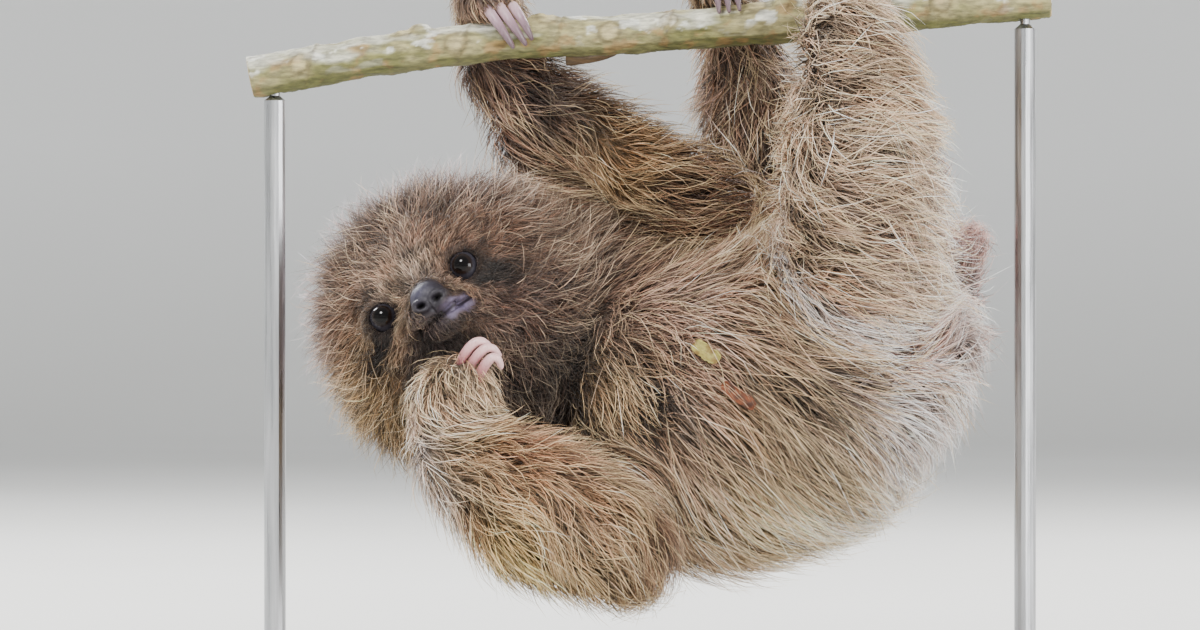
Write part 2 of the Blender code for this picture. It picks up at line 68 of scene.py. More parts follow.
# ---- The studio ----------------------------------------------------------------------------
# A flat painted floor whose edge sweeps up all round into a wall of the same pale paint.
# Four soft boxes light the animal: a key, a low fill, and two behind it that light its rim.
FLOOR_RADIUS = 5.0
WALL_RADIUS = 6.6
WALL_HEIGHT = 2.2
BEND_STEPS = 12
FADE_HEIGHT = 0.35
FLOOR_TONES = ((219, 218, 214), (224, 223, 220))
WALL_TONES = ((243, 243, 241), (247, 247, 245))
ANIMAL_MIDDLE = (0.0, 0.0, 0.14)
SOFT_BOXES = (  # name, place, size, power, colour
    ("key_light", (-1.3, -2.0, 2.3), 0.8, 125, (1.0, 0.985, 0.96)),
    ("fill_light", (2.0, -1.9, 0.5), 1.2, 85, (0.99, 0.985, 0.99)),
    ("rim_light", (-1.5, 1.6, 1.7), 0.8, 110, (0.98, 0.99, 1.0)),
    ("back_light", (1.6, 1.6, 1.2), 1.0, 75, (1.0, 0.99, 0.97)))
AIR_TONE = (226, 229, 232)
AIR_STRENGTH = 0.88


def tone(red, green, blue):
    """A colour given in display values, 0 to 255, as the linear values that a shader takes."""
    values = np.array((red, green, blue), float) / 255
    return np.where(values < 0.04045, values / 12.92, ((values + 0.055) / 1.055) ** 2.4)


def add_object(name, mesh):
    thing = bpy.data.objects.new(name, mesh)
    bpy.context.scene.collection.objects.link(thing)
    return thing


def add_piece(name, mesh, finish):
    """A smooth piece that wears the given finish."""
    mesh.shade_smooth()
    mesh.materials.append(finish)
    return add_object(name, mesh)


def new_material(name, **settings):
    """A material and its Principled shader, with the shader's own settings given by name."""
    material = bpy.data.materials.new(name)
    material.use_nodes = True
    shader = material.node_tree.nodes["Principled BSDF"]
    for setting, value in settings.items():
        shader.inputs[setting.replace("_", " ")].default_value = value
    return material, shader


def node(material, kind, **inputs):
    """Add a node; its inputs are set by name, from a value or from another node's output."""
    made = material.node_tree.nodes.new(kind)
    for name, value in inputs.items():
        socket = made.inputs[name.replace("_", " ")]
        if isinstance(value, bpy.types.NodeSocket):
            material.node_tree.links.new(value, socket)
        else:
            socket.default_value = value
    return made


def link(material, output, socket):
    material.node_tree.links.new(output, socket)


def noise_at(material, scale, detail=4.0, stretch=(1, 1, 1)):
    """Noise in the object's own space, stretched along its axes."""
    place = node(material, "ShaderNodeTexCoord")
    mapping = node(material, "ShaderNodeMapping", Vector=place.outputs["Object"])
    mapping.inputs["Scale"].default_value = stretch
    return node(material, "ShaderNodeTexNoise", Vector=mapping.outputs["Vector"],
                Scale=scale, Detail=detail).outputs["Fac"]


def ramp(material, factor, places, colours):
    """A colour ramp with a linear colour at each place."""
    made = node(material, "ShaderNodeValToRGB", Fac=factor)
    elements = made.color_ramp.elements
    while len(elements) < len(places):
        elements.new(0.5)
    for element, place, colour in zip(elements, places, colours):
        element.position = place
        element.color = (*colour, 1.0)
    return made.outputs["Color"]


def tone_ramp(material, factor, tones, places=(0.3, 0.7)):
    return ramp(material, factor, places, [tone(*colour) for colour in tones])


def grey_ramp(material, factor, low, high, start=0.3, end=0.7):
    return ramp(material, factor, (start, end), ((low,) * 3, (high,) * 3))


def add_bump(material, shader, height, distance, strength=1.0):
    bump = node(material, "ShaderNodeBump", Height=height, Distance=distance, Strength=strength)
    link(material, bump.outputs["Normal"], shader.inputs["Normal"])


def make_sweep():
    """The floor and wall, turned from one half section."""
    bend = WALL_RADIUS - FLOOR_RADIUS
    section = [Vector((0.0, 0, 0)), Vector((FLOOR_RADIUS, 0, 0))]
    for step in range(1, BEND_STEPS + 1):
        turn = math.radians(90 * step / BEND_STEPS)
        section.append(Vector((FLOOR_RADIUS + bend * math.sin(turn), 0,
                               bend * (1 - math.cos(turn)))))
    section.append(Vector((WALL_RADIUS, 0, WALL_HEIGHT)))
    bm = bmesh.new()
    verts = [bm.verts.new(point) for point in section]
    edges = [bm.edges.new(pair) for pair in zip(verts, verts[1:])]
    bmesh.ops.spin(bm, geom=verts + edges, cent=(0, 0, 0), axis=(0, 0, 1),
                   angle=math.tau, steps=96, use_duplicate=False)
    bmesh.ops.remove_doubles(bm, verts=bm.verts, dist=0.001)
    bmesh.ops.recalc_face_normals(bm, faces=bm.faces)
    mesh = bpy.data.meshes.new("studio_floor")
    bm.to_mesh(mesh)
    bm.free()
    return mesh


def sweep_paint():
    material, shader = new_material("sweep_paint", Roughness=0.75)
    mottle = noise_at(material, 1.4, 3.0)
    place = node(material, "ShaderNodeTexCoord").outputs["Object"]
    height = node(material, "ShaderNodeSeparateXYZ", Vector=place).outputs["Z"]
    rise = node(material, "ShaderNodeMapRange", Value=height, From_Max=FADE_HEIGHT)
    colours = node(material, "ShaderNodeMixRGB", Fac=rise.outputs["Result"],
                   Color1=tone_ramp(material, mottle, FLOOR_TONES),
                   Color2=tone_ramp(material, mottle, WALL_TONES))
    link(material, colours.outputs["Color"], shader.inputs["Base Color"])
    add_bump(material, shader, noise_at(material, 60, 5), 0.0004, 0.4)
    return material


floor = add_piece("studio_floor", make_sweep(), sweep_paint())


def add_softbox(name, place, size, power, colour):
    """A square soft light that faces the animal."""
    data = bpy.data.lights.new(name, "AREA")
    data.shape = "SQUARE"
    data.size = size
    data.energy = power
    data.color = colour
    lamp = bpy.data.objects.new(name, data)
    lamp.location = place
    toward = Vector(ANIMAL_MIDDLE) - Vector(place)
    lamp.rotation_euler = toward.to_track_quat("-Z", "Y").to_euler()
    bpy.context.scene.collection.objects.link(lamp)


for soft_box in SOFT_BOXES:
    add_softbox(*soft_box)
world = bpy.data.worlds.new("studio_air")
bpy.context.scene.world = world
world.use_nodes = True
air = world.node_tree.nodes["Background"]
air.inputs["Color"].default_value = (*tone(*AIR_TONE), 1)
air.inputs["Strength"].default_value = AIR_STRENGTH


# ---- The base of the stand -----------------------------------------------------------------
# A flat board of dark stained hardwood with eased edges, finished with satin lacquer.
# Its grain runs along the branch.
WOOD_TONES = ((48, 30, 20), (84, 54, 34), (66, 41, 26), (104, 70, 44))
WOOD_BANDS = (0.30, 0.47, 0.56, 0.72)


def shaded(material, colour, shade, amount):
    """A colour darkened by a grey pattern."""
    mixed = node(material, "ShaderNodeMixRGB", Fac=amount, Color1=colour, Color2=shade)
    mixed.blend_type = "MULTIPLY"
    return mixed.outputs["Color"]


def stained_hardwood():
    material, shader = new_material("stained_hardwood", Roughness=0.4, Coat_Weight=0.25,
                                    Coat_Roughness=0.25)
    grain = noise_at(material, 60, 8, (0.12, 1.6, 1.6))
    pores = noise_at(material, 520, 3, (0.06, 1, 1))
    colour = shaded(material, tone_ramp(material, grain, WOOD_TONES, WOOD_BANDS),
                    grey_ramp(material, pores, 0.72, 1.0, 0.35, 0.5), 0.8)
    link(material, colour, shader.inputs["Base Color"])
    link(material, grey_ramp(material, grain, 0.34, 0.5), shader.inputs["Roughness"])
    add_bump(material, shader, pores, 0.00015, 0.5)
    return material


def dress(name, material):
    """Give a carried-over part of the model its finish."""
    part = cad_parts[name]
    part.data.materials.clear()
    part.data.materials.append(material)
    return part


dress("stand_base", stained_hardwood())


# ---- The rods of the stand -----------------------------------------------------------------
# Two turned rods of brushed steel, each with a small flange that sits on the base.
# A thin pin at the top of each enters the underside of the branch.
STEEL_TONES = ((168, 169, 172), (198, 199, 201))


def brushed_steel():
    material, shader = new_material("brushed_steel", Roughness=0.3, Metallic=1.0)
    brushing = noise_at(material, 700, 3, (1, 1, 0.04))
    link(material, tone_ramp(material, brushing, STEEL_TONES), shader.inputs["Base Color"])
    link(material, grey_ramp(material, brushing, 0.24, 0.4), shader.inputs["Roughness"])
    add_bump(material, shader, brushing, 0.00004, 0.5)
    return material


steel = brushed_steel()
for rod in ("stand_rod_left", "stand_rod_right"):
    dress(rod, steel)


# ---- The branch ----------------------------------------------------------------------------
# A length cut from a living branch: thin grey-olive bark with white lichen along its top,
# low rings and leaf scars, and the pale sawn wood at both ends. A dead twig stub is behind.
BRANCH_VOXEL = 0.7 * MM
TWIG_VOXEL = 0.4 * MM
BARK_RELIEF = 0.46 * MM
TWIG_RELIEF = 0.16 * MM
TWIG_DEADNESS = 0.8
DEAD_TONE = (92, 66, 50)
RING_WIDTH = 0.45 * MM
SAWN_FACE = (0.8, 0.95)
KNOTS = (  # place along the branch in mm, degrees up from the front, radius, height
    (-112, 12, 2.8, 0.9), (-78, 78, 3.2, 1.2), (-62, 8, 3.4, 0.8), (-33, 72, 3.4, 1.5),
    (-13, 5, 3.2, 0.7), (6, 30, 2.6, 0.8), (34, 60, 3.0, 0.9), (54, -20, 2.6, 0.8),
    (93, 20, 3.2, 1.1), (-90, 170, 3.4, 1.1), (20, 200, 3.0, 0.9))
ARC_PER_DEGREE = 0.115
SLICE_LENGTH = 4
LEAF_SCARS = (-108, -59, -29, 6, 50, 90)
SCAR_WIDTH = 0.7
SCAR_LEAN = 0.03
SCAR_RISE = 0.45


def mesh_values(items, field, width=1, kind=np.float32):
    """A value, or a row of several, for each vertex, edge, face or corner of a mesh."""
    values = np.empty(len(items) * width, kind)
    items.foreach_get(field, values)
    return values.reshape(-1, width) if width > 1 else values


def vertex_array(mesh):
    return mesh_values(mesh.vertices, "co", 3).astype(float)


def normal_array(mesh):
    return mesh_values(mesh.vertex_normals, "vector", 3).astype(float)


def set_vertices(mesh, points):
    mesh.vertices.foreach_set("co", np.asarray(points, np.float32).ravel())
    mesh.update()


def worked_mesh(thing, name):
    """The object's mesh with its modifiers worked in; the object itself is removed."""
    bpy.context.view_layer.update()
    depsgraph = bpy.context.evaluated_depsgraph_get()
    mesh = bpy.data.meshes.new_from_object(thing.evaluated_get(depsgraph))
    mesh.name = name
    bpy.data.objects.remove(thing, do_unlink=True)
    return mesh


def remeshed(mesh, voxel, name, smoothing=0):
    """One closed skin of even small faces over everything in the mesh."""
    thing = add_object(name, mesh)
    remesh = thing.modifiers.new("even faces", "REMESH")
    remesh.mode = "VOXEL"
    remesh.voxel_size = voxel
    if smoothing:
        smooth = thing.modifiers.new("soften", "SMOOTH")
        smooth.factor = 0.5
        smooth.iterations = smoothing
    return worked_mesh(thing, name)


def fractal(points, size, octaves=4):
    """Soft noise, about -1 to 1, with features of the given size."""
    scaled = points / size
    return np.array([noise.fractal(point, 1.0, 2.0, octaves) for point in scaled.tolist()])


def step_between(values, low, high):
    """0 below low, 1 above high, and a smooth step between."""
    share = np.clip((values - low) / (high - low), 0, 1)
    return share * share * (3 - 2 * share)


def bell(distance, width, power=2):
    """1 at no distance, falling to 0 beyond the width; a higher power has a flatter top."""
    return np.exp(-(distance / width) ** power)


def blend_tones(base, other, share):
    """Two colours, or arrays of them, mixed by a share for each point."""
    return base * (1 - share[:, None]) + other * share[:, None]


def layered(colours, *layers):
    """Colours laid over one another in turn, each by its share at every point."""
    for colour, share in layers:
        colours = blend_tones(colours, tone(*colour), share)
    return colours


def paint_points(mesh, colours, name="markings"):
    """Store a linear colour for each vertex."""
    layer = mesh.color_attributes.new(name, "FLOAT_COLOR", "POINT")
    values = np.ones((len(mesh.vertices), 4), np.float32)
    values[:, :3] = colours
    layer.data.foreach_set("color", values.ravel())


def bark_tones(points, normals, knots, scars):
    """Bark colour at each point: olive and tan, paler on top and greener below, with scars."""
    upward = normals[:, 2]
    coarse = fractal(points * (0.5, 1, 1), 9 * MM)
    streaks = fractal(points * (0.2, 1, 1) + 7, 1.3 * MM)
    rusty = step_between(fractal(points + 3, 6 * MM), 0.2, 0.55)
    lichen = step_between(upward * 0.8 + coarse * 0.9, 0.3, 0.95)
    spots = step_between(fractal(points * (0.6, 1, 1) + 5, 5 * MM, 4), 0.3, 0.5)
    rim = bell(knots - 0.35, 0.16) + 0.8 * scars
    colours = layered(
        tone(148, 140, 98), ((110, 108, 62), step_between(coarse, -0.25, 0.4)),
        ((84, 86, 46), step_between(-upward, 0.0, 0.9) * 0.75), ((140, 104, 62), rusty * 0.55),
        ((196, 194, 178), lichen * 0.8),
        ((212, 212, 202), spots * step_between(upward, -0.6, 0.5) * 0.85),
        ((180, 164, 122), np.clip(knots, 0, 1) * 0.6), ((88, 76, 46), np.clip(rim, 0, 1) * 0.6))
    colours = colours * (1 + 0.34 * streaks)[:, None]
    from_pith = np.hypot(points[:, 1], points[:, 2] - points[:, 2].mean())
    rings = 0.5 + 0.5 * np.sin(from_pith / RING_WIDTH)
    wood = layered(tone(203, 176, 128), ((176, 143, 96), rings))
    return blend_tones(colours, wood, step_between(np.abs(normals[:, 0]), *SAWN_FACE))


def painted(name, grain, shade, amount, gloss=None, bump=None, **settings):
    """A finish in the colours painted on its mesh, with a fine grain in shade and gloss."""
    material, shader = new_material(name, **settings)
    paint = node(material, "ShaderNodeAttribute")
    paint.attribute_name = "markings"
    fine = noise_at(material, *grain)
    dark = grey_ramp(material, fine, *shade)
    link(material, shaded(material, paint.outputs["Color"], dark, amount),
         shader.inputs["Base Color"])
    if gloss:
        link(material, grey_ramp(material, fine, *gloss), shader.inputs["Roughness"])
    if bump:
        add_bump(material, shader, fine, *bump)
    return material, shader


def bark():
    material, shader = painted("bark", (900, 5, (0.3, 1, 1)), (0.55, 1.2, 0.36, 0.6), 0.8,
                               (0.66, 0.9), Roughness=0.8)
    add_bump(material, shader, noise_at(material, 520, 8, (0.3, 1, 1)), 0.0009, 0.9)
    return material


def cad_copy(*names, swell=0.0):
    """One mesh with a copy of each named part, each swollen a little along its normals."""
    bm = bmesh.new()
    for name in names:
        bm.from_mesh(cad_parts[name].data)
    bmesh.ops.remove_doubles(bm, verts=bm.verts, dist=0.002 * MM)
    bm.normal_update()
    if swell:
        for vert in bm.verts:
            vert.co += vert.normal * swell
    mesh = bpy.data.meshes.new(names[0] + "_copy")
    bm.to_mesh(mesh)
    bm.free()
    return mesh


def knots_and_scars(points):
    """How far each point lies on a knot, its height in mm, and how far on a leaf scar."""
    x = points[:, 0] / MM
    slices = np.clip(((x - x.min()) / SLICE_LENGTH).astype(int), 0, None)
    count = np.maximum(np.bincount(slices), 1)
    middle = np.stack([np.bincount(slices, points[:, axis]) / count for axis in (1, 2)], axis=1)
    middle = middle[slices]
    angle = np.degrees(np.arctan2(points[:, 2] - middle[:, 1], middle[:, 0] - points[:, 1]))
    share, height = np.zeros(len(points)), np.zeros(len(points))
    for place, up, radius, rise in KNOTS:
        round_it = np.abs((angle - up + 180) % 360 - 180) * ARC_PER_DEGREE
        apart = (x - place) ** 2 + round_it ** 2
        knot = np.exp(-apart / radius ** 2)
        share = np.maximum(share, knot)
        height += rise * (knot - 0.5 * np.exp(-apart / (radius * 0.4) ** 2))
    lean = SCAR_LEAN * (angle - 20)
    scars = sum(bell(x - place - lean, SCAR_WIDTH) for place in LEAF_SCARS)
    return share, height, scars * step_between(90 - np.abs(angle - 40), -30, 40)


def make_branch(node_name, name, voxel, relief, dead=0.0):
    """The bark over the plain branch, with knots, scars and ridges that run along it."""
    mesh = remeshed(cad_copy(node_name), voxel, name, 2)
    points = vertex_array(mesh)
    normals = normal_array(mesh)
    ridges = fractal(points * (0.3, 1, 1), 2.6 * MM) + 0.5 * fractal(points + 2, 1.1 * MM)
    lumps = fractal(points + 9, 12 * MM, 2)
    knots, rise, scars = np.zeros((3, len(points))) if dead else knots_and_scars(points)
    flat_end = step_between(np.abs(normals[:, 0]), *SAWN_FACE)
    height = (ridges * 0.8 + lumps * 1.4) * relief + (rise + SCAR_RISE * scars) * MM
    set_vertices(mesh, points + normals * (height * (1 - flat_end))[:, None])
    colours = bark_tones(points, normals, knots, scars)
    paint_points(mesh, layered(colours, (DEAD_TONE, np.full(len(points), dead))))
    branch = add_piece(name, mesh, bark_finish)
    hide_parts(node_name)
    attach(branch, "root")
    return branch


bark_finish = bark()
branch = make_branch("perch", "branch", BRANCH_VOXEL, BARK_RELIEF)
make_branch("perch_twig", "dead_twig", TWIG_VOXEL, TWIG_RELIEF, TWIG_DEADNESS)


# ---- The skin ------------------------------------------------------------------------------
# One skin over the whole animal. It lies inside the body's outline by the depth of the coat,
# and close under it on the face. The lids, nose, nostrils and mouth are shaped in the skin.
LIMBS = ("upper_arm", "forearm", "hand", "thigh", "shank", "foot")
FLESH = ["head", "muzzle", "neck", "chest", "belly", "rump", "tail"]
FLESH += [f"{limb}_{side}" for side in ("left", "right") for limb in LIMBS]
BODY_VOXEL = 2.0 * MM
BODY_SWELL = 0.4 * MM
SKIN_VOXEL = 1.15 * MM
BODY_DETAIL = 0.3
PART_REACH = 14 * MM
DEPTH_ROUNDS = 14
COAT_DEPTH = {"head": 8.5, "muzzle": 1.7, "neck": 9, "chest": 10, "belly": 10, "rump": 9,
              "tail": 4, "upper_arm": 6, "forearm": 6, "hand": 3, "thigh": 8, "shank": 6.5,
              "foot": 3}
FACE_DEPTH = 2.0
HEAD_CENTRE = Vector((-64.8, -8, 140.2)) * MM
HEAD_TURN = (Matrix.Rotation(math.radians(-31.9), 4, "Y")
             @ Matrix.Rotation(math.radians(-17), 4, "X")
             @ Matrix.Rotation(math.radians(-3.5), 4, "Z"))
HEAD_AXES = np.array(HEAD_TURN.to_3x3())
FACE_LOW = 5
FACE_RADIUS = 30
FACE_BACK = -16
EYE_RADIUS = 4.6 * MM
EYE_OPENING = 3.0 * MM
LID_THICKNESS = 0.5 * MM
LID_OVAL = (0.93, 1.03)
LID_BLEND = (4.9 * MM, 9.4 * MM)
LID_FOLDS = ((0.45, 5.2, 0.45), (-0.25, 3.7, 0.35))  # height, radius and width in mm
NOSE = (1.5, -7.3)
NOSE_HALF = (6.7, 5.9)
NOSTRILS = ((4.0, -10.3, 2.0, 1.15, 0.1), (-2.0, -9.8, 1.6, 0.95, -0.3))
MOUTH_CENTRE = (-0.8, -14.7)
MOUTH_CURVE = 0.017
MOUTH_HALF = 12.6
MOUTH_MIDDLE = 0.2
LIP_FORMS = ((0.55, 1.3, 0.8), (0.75, -1.6, 1.0), (-1.7, 0, 0.42))  # height, place, width
MUZZLE_FORMS = (  # middle and half sizes of each form, in the head's own millimetres
    ((1.0, -46.2, -7.4), (6.0, 4.6, 4.8)), ((1.0, -43.0, -4.0), (5.6, 4.4, 3.4)),
    ((4.2, -47.4, -9.9), (3.0, 3.6, 3.1)), ((-2.2, -47.4, -9.5), (3.0, 3.6, 3.1)),
    ((0.4, -44.2, -12.6), (9.0, 4.2, 2.3)), ((1.5, -41.0, -17.2), (7.6, 4.4, 2.6)))
FINE_SPOTS = (((0, -40, -6), 24), ((0.8, -46, -11), 14))
EYE_SPOT = 8


def to_head(points):
    """World points in the head's own frame: face toward -Y, crown toward +Z, in metres."""
    return (np.asarray(points) - np.array(HEAD_CENTRE)) @ HEAD_AXES


def from_head(points):
    return np.asarray(points) @ HEAD_AXES.T + np.array(HEAD_CENTRE)


def eye_place(name):
    low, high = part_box(name)
    return (low + high) / 2


EYES = [eye_place("eye_left"), eye_place("eye_right")]
EYES_IN_HEAD = to_head([tuple(eye) for eye in EYES])


def part_kind(name):
    return name.removesuffix("_left").removesuffix("_right")


def tree_of(mesh):
    """A search tree of the mesh's triangles, with each triangle's corners."""
    mesh.calc_loop_triangles()
    corners = mesh_values(mesh.loop_triangles, "vertices", 3, np.int32)
    return BVHTree.FromPolygons(vertex_array(mesh).tolist(), corners.tolist()), corners


def dot(one, other):
    return np.einsum("ij,ij->i", one, other)


def nearest_on(tree, points):
    """For each point the nearest place on the tree's surface, its normal and its triangle."""
    found = [tree.find_nearest(point) for point in points.tolist()]
    places = np.array([hit[0][:] for hit in found])
    normals = np.array([hit[1][:] for hit in found])
    return places, normals, np.array([hit[2] for hit in found])


def edge_array(mesh):
    return mesh_values(mesh.edges, "vertices", 2, np.int32)


def spread(values, edges, rounds):
    """Smooth values over a mesh by averaging each vertex with its neighbours."""
    values = np.asarray(values, float)
    count = np.bincount(edges.ravel(), minlength=len(values))
    shape = (-1,) + (1,) * (values.ndim - 1)
    for _ in range(rounds):
        total = np.zeros_like(values)
        np.add.at(total, edges[:, 0], values[edges[:, 1]])
        np.add.at(total, edges[:, 1], values[edges[:, 0]])
        values = 0.5 * values + 0.5 * total / np.maximum(count, 1).reshape(shape)
    return values


def face_share(points, inner=19, outer=37):
    """1 on the short-haired face, falling to 0 where the long coat of the head begins."""
    local = to_head(points) / MM
    across = np.where(local[:, 0] > 0, 0.8, 1.0) * local[:, 0]
    off_axis = np.hypot(across, local[:, 2] + FACE_LOW)
    return (1 - step_between(off_axis, inner, outer)) * step_between(-local[:, 1], 5, 22)


def flesh_labels(points):
    """The index in FLESH of the part that lies nearest to each point."""
    best = np.full(len(points), np.inf)
    labels = np.zeros(len(points), int)
    for index, name in enumerate(FLESH):
        low, high = (np.array(corner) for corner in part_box(name))
        inside = (points > low - PART_REACH) & (points < high + PART_REACH)
        close = np.flatnonzero(np.all(inside, axis=1))
        tree, _ = tree_of(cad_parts[name].data)
        places, normals, _ = nearest_on(tree, points[close])
        apart = points[close] - places
        distance = np.linalg.norm(apart, axis=1)
        signed = np.where(dot(apart, normals) < 0, -distance, distance)
        nearer = signed < best[close]
        best[close[nearer]] = signed[nearer]
        labels[close[nearer]] = index
    return labels


def add_muzzle_forms(mesh):
    """Join the nose pad with its two lobes, and the lips, before the skin is made even."""
    bm = bmesh.new()
    bm.from_mesh(mesh)
    for middle, half in MUZZLE_FORMS:
        place = Matrix.Translation(HEAD_CENTRE) @ HEAD_TURN
        place = place @ Matrix.Translation(Vector(middle) * MM)
        place = place @ Matrix.Diagonal((*(Vector(half) * MM), 1.0))
        bmesh.ops.create_uvsphere(bm, u_segments=40, v_segments=24, radius=1.0, matrix=place)
    bm.to_mesh(mesh)
    bm.free()


def coarser_body(mesh):
    """Fewer faces where the coat hides the skin; the face keeps all of its own."""
    thing = add_object("skin", mesh)
    group = thing.vertex_groups.new(name="hidden")
    local = to_head(vertex_array(mesh)) / MM
    off_axis = np.hypot(local[:, 0], local[:, 2] + FACE_LOW)
    hidden = (off_axis > FACE_RADIUS) | (local[:, 1] > FACE_BACK)
    group.add(np.flatnonzero(hidden).tolist(), 1.0, "REPLACE")
    fewer = thing.modifiers.new("fewer faces", "DECIMATE")
    fewer.ratio = BODY_DETAIL
    fewer.vertex_group = "hidden"
    return worked_mesh(thing, "skin")


def refine(mesh, centre, radius):
    """Split each face within a radius of a point into smaller ones."""
    bm = bmesh.new()
    bm.from_mesh(mesh)
    inside = [edge for edge in bm.edges
              if all((vert.co - centre).length < radius for vert in edge.verts)]
    bmesh.ops.subdivide_edges(bm, edges=inside, cuts=1, use_grid_fill=True, smooth=0.6)
    bm.to_mesh(mesh)
    bm.free()


def from_eye(local, eye, oval=(1.0, 1.0)):
    """How far each point lies from the middle of an eye, as seen from the front."""
    return np.hypot((local[:, 0] - eye[0]) * oval[0], (local[:, 2] - eye[2]) * oval[1])


def shape_lids(points):
    """Press the skin to each eyeball: lids over its edge, and an opening in front."""
    local = to_head(points)
    lid = EYE_RADIUS + LID_THICKNESS
    socket = EYE_RADIUS - 0.8 * MM
    for eye in EYES_IN_HEAD:
        depth = local[:, 1] - eye[1]
        reach = from_eye(local, eye, LID_OVAL)
        front = (depth < 3 * MM) & (reach < 10 * MM)
        dome = -np.sqrt(np.maximum(lid ** 2 - np.minimum(reach, lid * 0.94) ** 2, 0))
        slope = dome + np.maximum(reach - 4.7 * MM, 0) * 0.1
        inside = np.minimum(reach, EYE_RADIUS * 0.8)
        inside = -np.sqrt(np.maximum(socket ** 2 - inside ** 2, 0))
        opened = 1 - step_between(reach, EYE_OPENING - 0.2 * MM, EYE_OPENING + 0.3 * MM)
        target = slope * (1 - opened) + inside * opened
        blend = 1 - step_between(reach, *LID_BLEND)
        folds = sum(rise * MM * bell(reach - radius * MM, width * MM)
                    for rise, radius, width in LID_FOLDS)
        moved = depth * (1 - blend) + target * blend + folds
        local[front, 1] = (eye[1] + moved)[front]
    return from_head(local)


def nostril_rings(local):
    """For each nostril, 0 at its middle and 1 at its rim, in the face's own millimetres."""
    rings = []
    for x, z, wide, high, lean in NOSTRILS:
        across, up = local[:, 0] - x, local[:, 2] - z
        along = across * math.cos(lean) + up * math.sin(lean)
        athwart = -across * math.sin(lean) + up * math.cos(lean)
        rings.append(np.hypot(along / wide, athwart / high))
    return rings


def mouth_height(local):
    """How far each point lies above the line of the mouth, in millimetres."""
    return local[:, 2] - MOUTH_CENTRE[1] - MOUTH_CURVE * (local[:, 0] - MOUTH_CENTRE[0]) ** 2


def nose_ring(local):
    """1 on the outline of the nose pad, less inside it and more outside."""
    return np.hypot((local[:, 0] - NOSE[0]) / NOSE_HALF[0],
                    (local[:, 2] - NOSE[1]) / NOSE_HALF[1])


def shape_mouth_and_nose(points, normals):
    """The line of the mouth with its two lips, the nostrils and the groove below the nose."""
    local = to_head(points) / MM
    forward = -local[:, 1]
    above = mouth_height(local)
    aside = np.abs(local[:, 0] - MOUTH_MIDDLE)
    along = (1 - step_between(aside, MOUTH_HALF - 1.5, MOUTH_HALF + 1)) * (forward > 33)
    rise = sum(height * bell(above - place, width) for height, place, width in LIP_FORMS) * along
    for ring in nostril_rings(local):
        rim = 0.4 * bell(ring - 1.7, 0.5) - 2.6 * (1 - step_between(ring, 0.45, 1.25))
        rise += rim * (forward > 43)
    groove = bell(local[:, 0] - 0.8, 0.4) * step_between(above, 0.2, 1.2)
    rise -= 0.6 * groove * (1 - step_between(local[:, 2], -10.5, -8.5)) * (forward > 40)
    fold = bell(nose_ring(local) - 1.06, 0.1) * (1 - step_between(local[:, 2], -8, -3))
    rise -= 0.35 * fold * (forward > 41)
    return points + normals * (rise * MM)[:, None]


def make_skin_mesh():
    """Shrink the body by the depth of its coat, make it even, then shape the face."""
    body = remeshed(cad_copy(*FLESH, swell=BODY_SWELL), BODY_VOXEL, "body", 3)
    points = vertex_array(body)
    labels = flesh_labels(points)
    depth = np.array([COAT_DEPTH[part_kind(FLESH[label])] for label in labels], float)
    head = labels == FLESH.index("head")
    face = face_share(points)
    depth[head] = depth[head] * (1 - face[head]) + FACE_DEPTH * face[head]
    depth = spread(depth, edge_array(body), DEPTH_ROUNDS)
    set_vertices(body, points - normal_array(body) * (depth * MM)[:, None])
    add_muzzle_forms(body)
    mesh = coarser_body(remeshed(body, SKIN_VOXEL, "skin", 3))
    spots = [*FINE_SPOTS, *((eye / MM, EYE_SPOT) for eye in EYES_IN_HEAD)]
    for place, reach in spots:
        refine(mesh, Vector(from_head(np.array(place) * MM)), reach * MM)
    for _ in range(2):
        set_vertices(mesh, shape_lids(vertex_array(mesh)))
    set_vertices(mesh, shape_mouth_and_nose(vertex_array(mesh), normal_array(mesh)))
    return mesh


skin_mesh = make_skin_mesh()
skin_points = vertex_array(skin_mesh)
skin_normals = normal_array(skin_mesh)
skin_edges = edge_array(skin_mesh)
skin_labels = flesh_labels(skin_points)


# ---- The markings --------------------------------------------------------------------------
# Skin and coat share one set of markings. Each is a pale or dark patch with a soft edge,
# placed on the head, trunk or limbs; some of the dark patches are painted shade in hollows,
# creases and gaps. Roots are darker, partly by painted shade deep in the coat, and tips
# paler than the marking itself.
def near(points, centre, radius):
    """1 at a point given in millimetres, falling to 0 beyond the radius."""
    return bell(np.linalg.norm(points / MM - np.array(centre), axis=1), radius)


def oval_spot(local, centre, half, power=1):
    """1 in the middle of an oval on the face, falling to 0 outside it."""
    across = (local[:, 0] - centre[0]) / half[0]
    up = (local[:, 2] - centre[1]) / half[1]
    return np.exp(-(across ** 2 + up ** 2) ** power)


def along_line(local, start, end, width):
    """1 on the line between two points of the face, falling off to its sides."""
    start, end = np.array(start, float), np.array(end, float)
    line, flat = end - start, local[:, (0, 2)]
    share = np.clip((flat - start) @ line / (line @ line), 0, 1)
    distance = np.linalg.norm(flat - (start + share[:, None] * line), axis=1)
    return bell(distance, width * (1 - 0.25 * share))


def is_part(labels, *kinds):
    wanted = [index for index, name in enumerate(FLESH)
              if name in kinds or part_kind(name) in kinds]
    return np.isin(labels, wanted).astype(float)
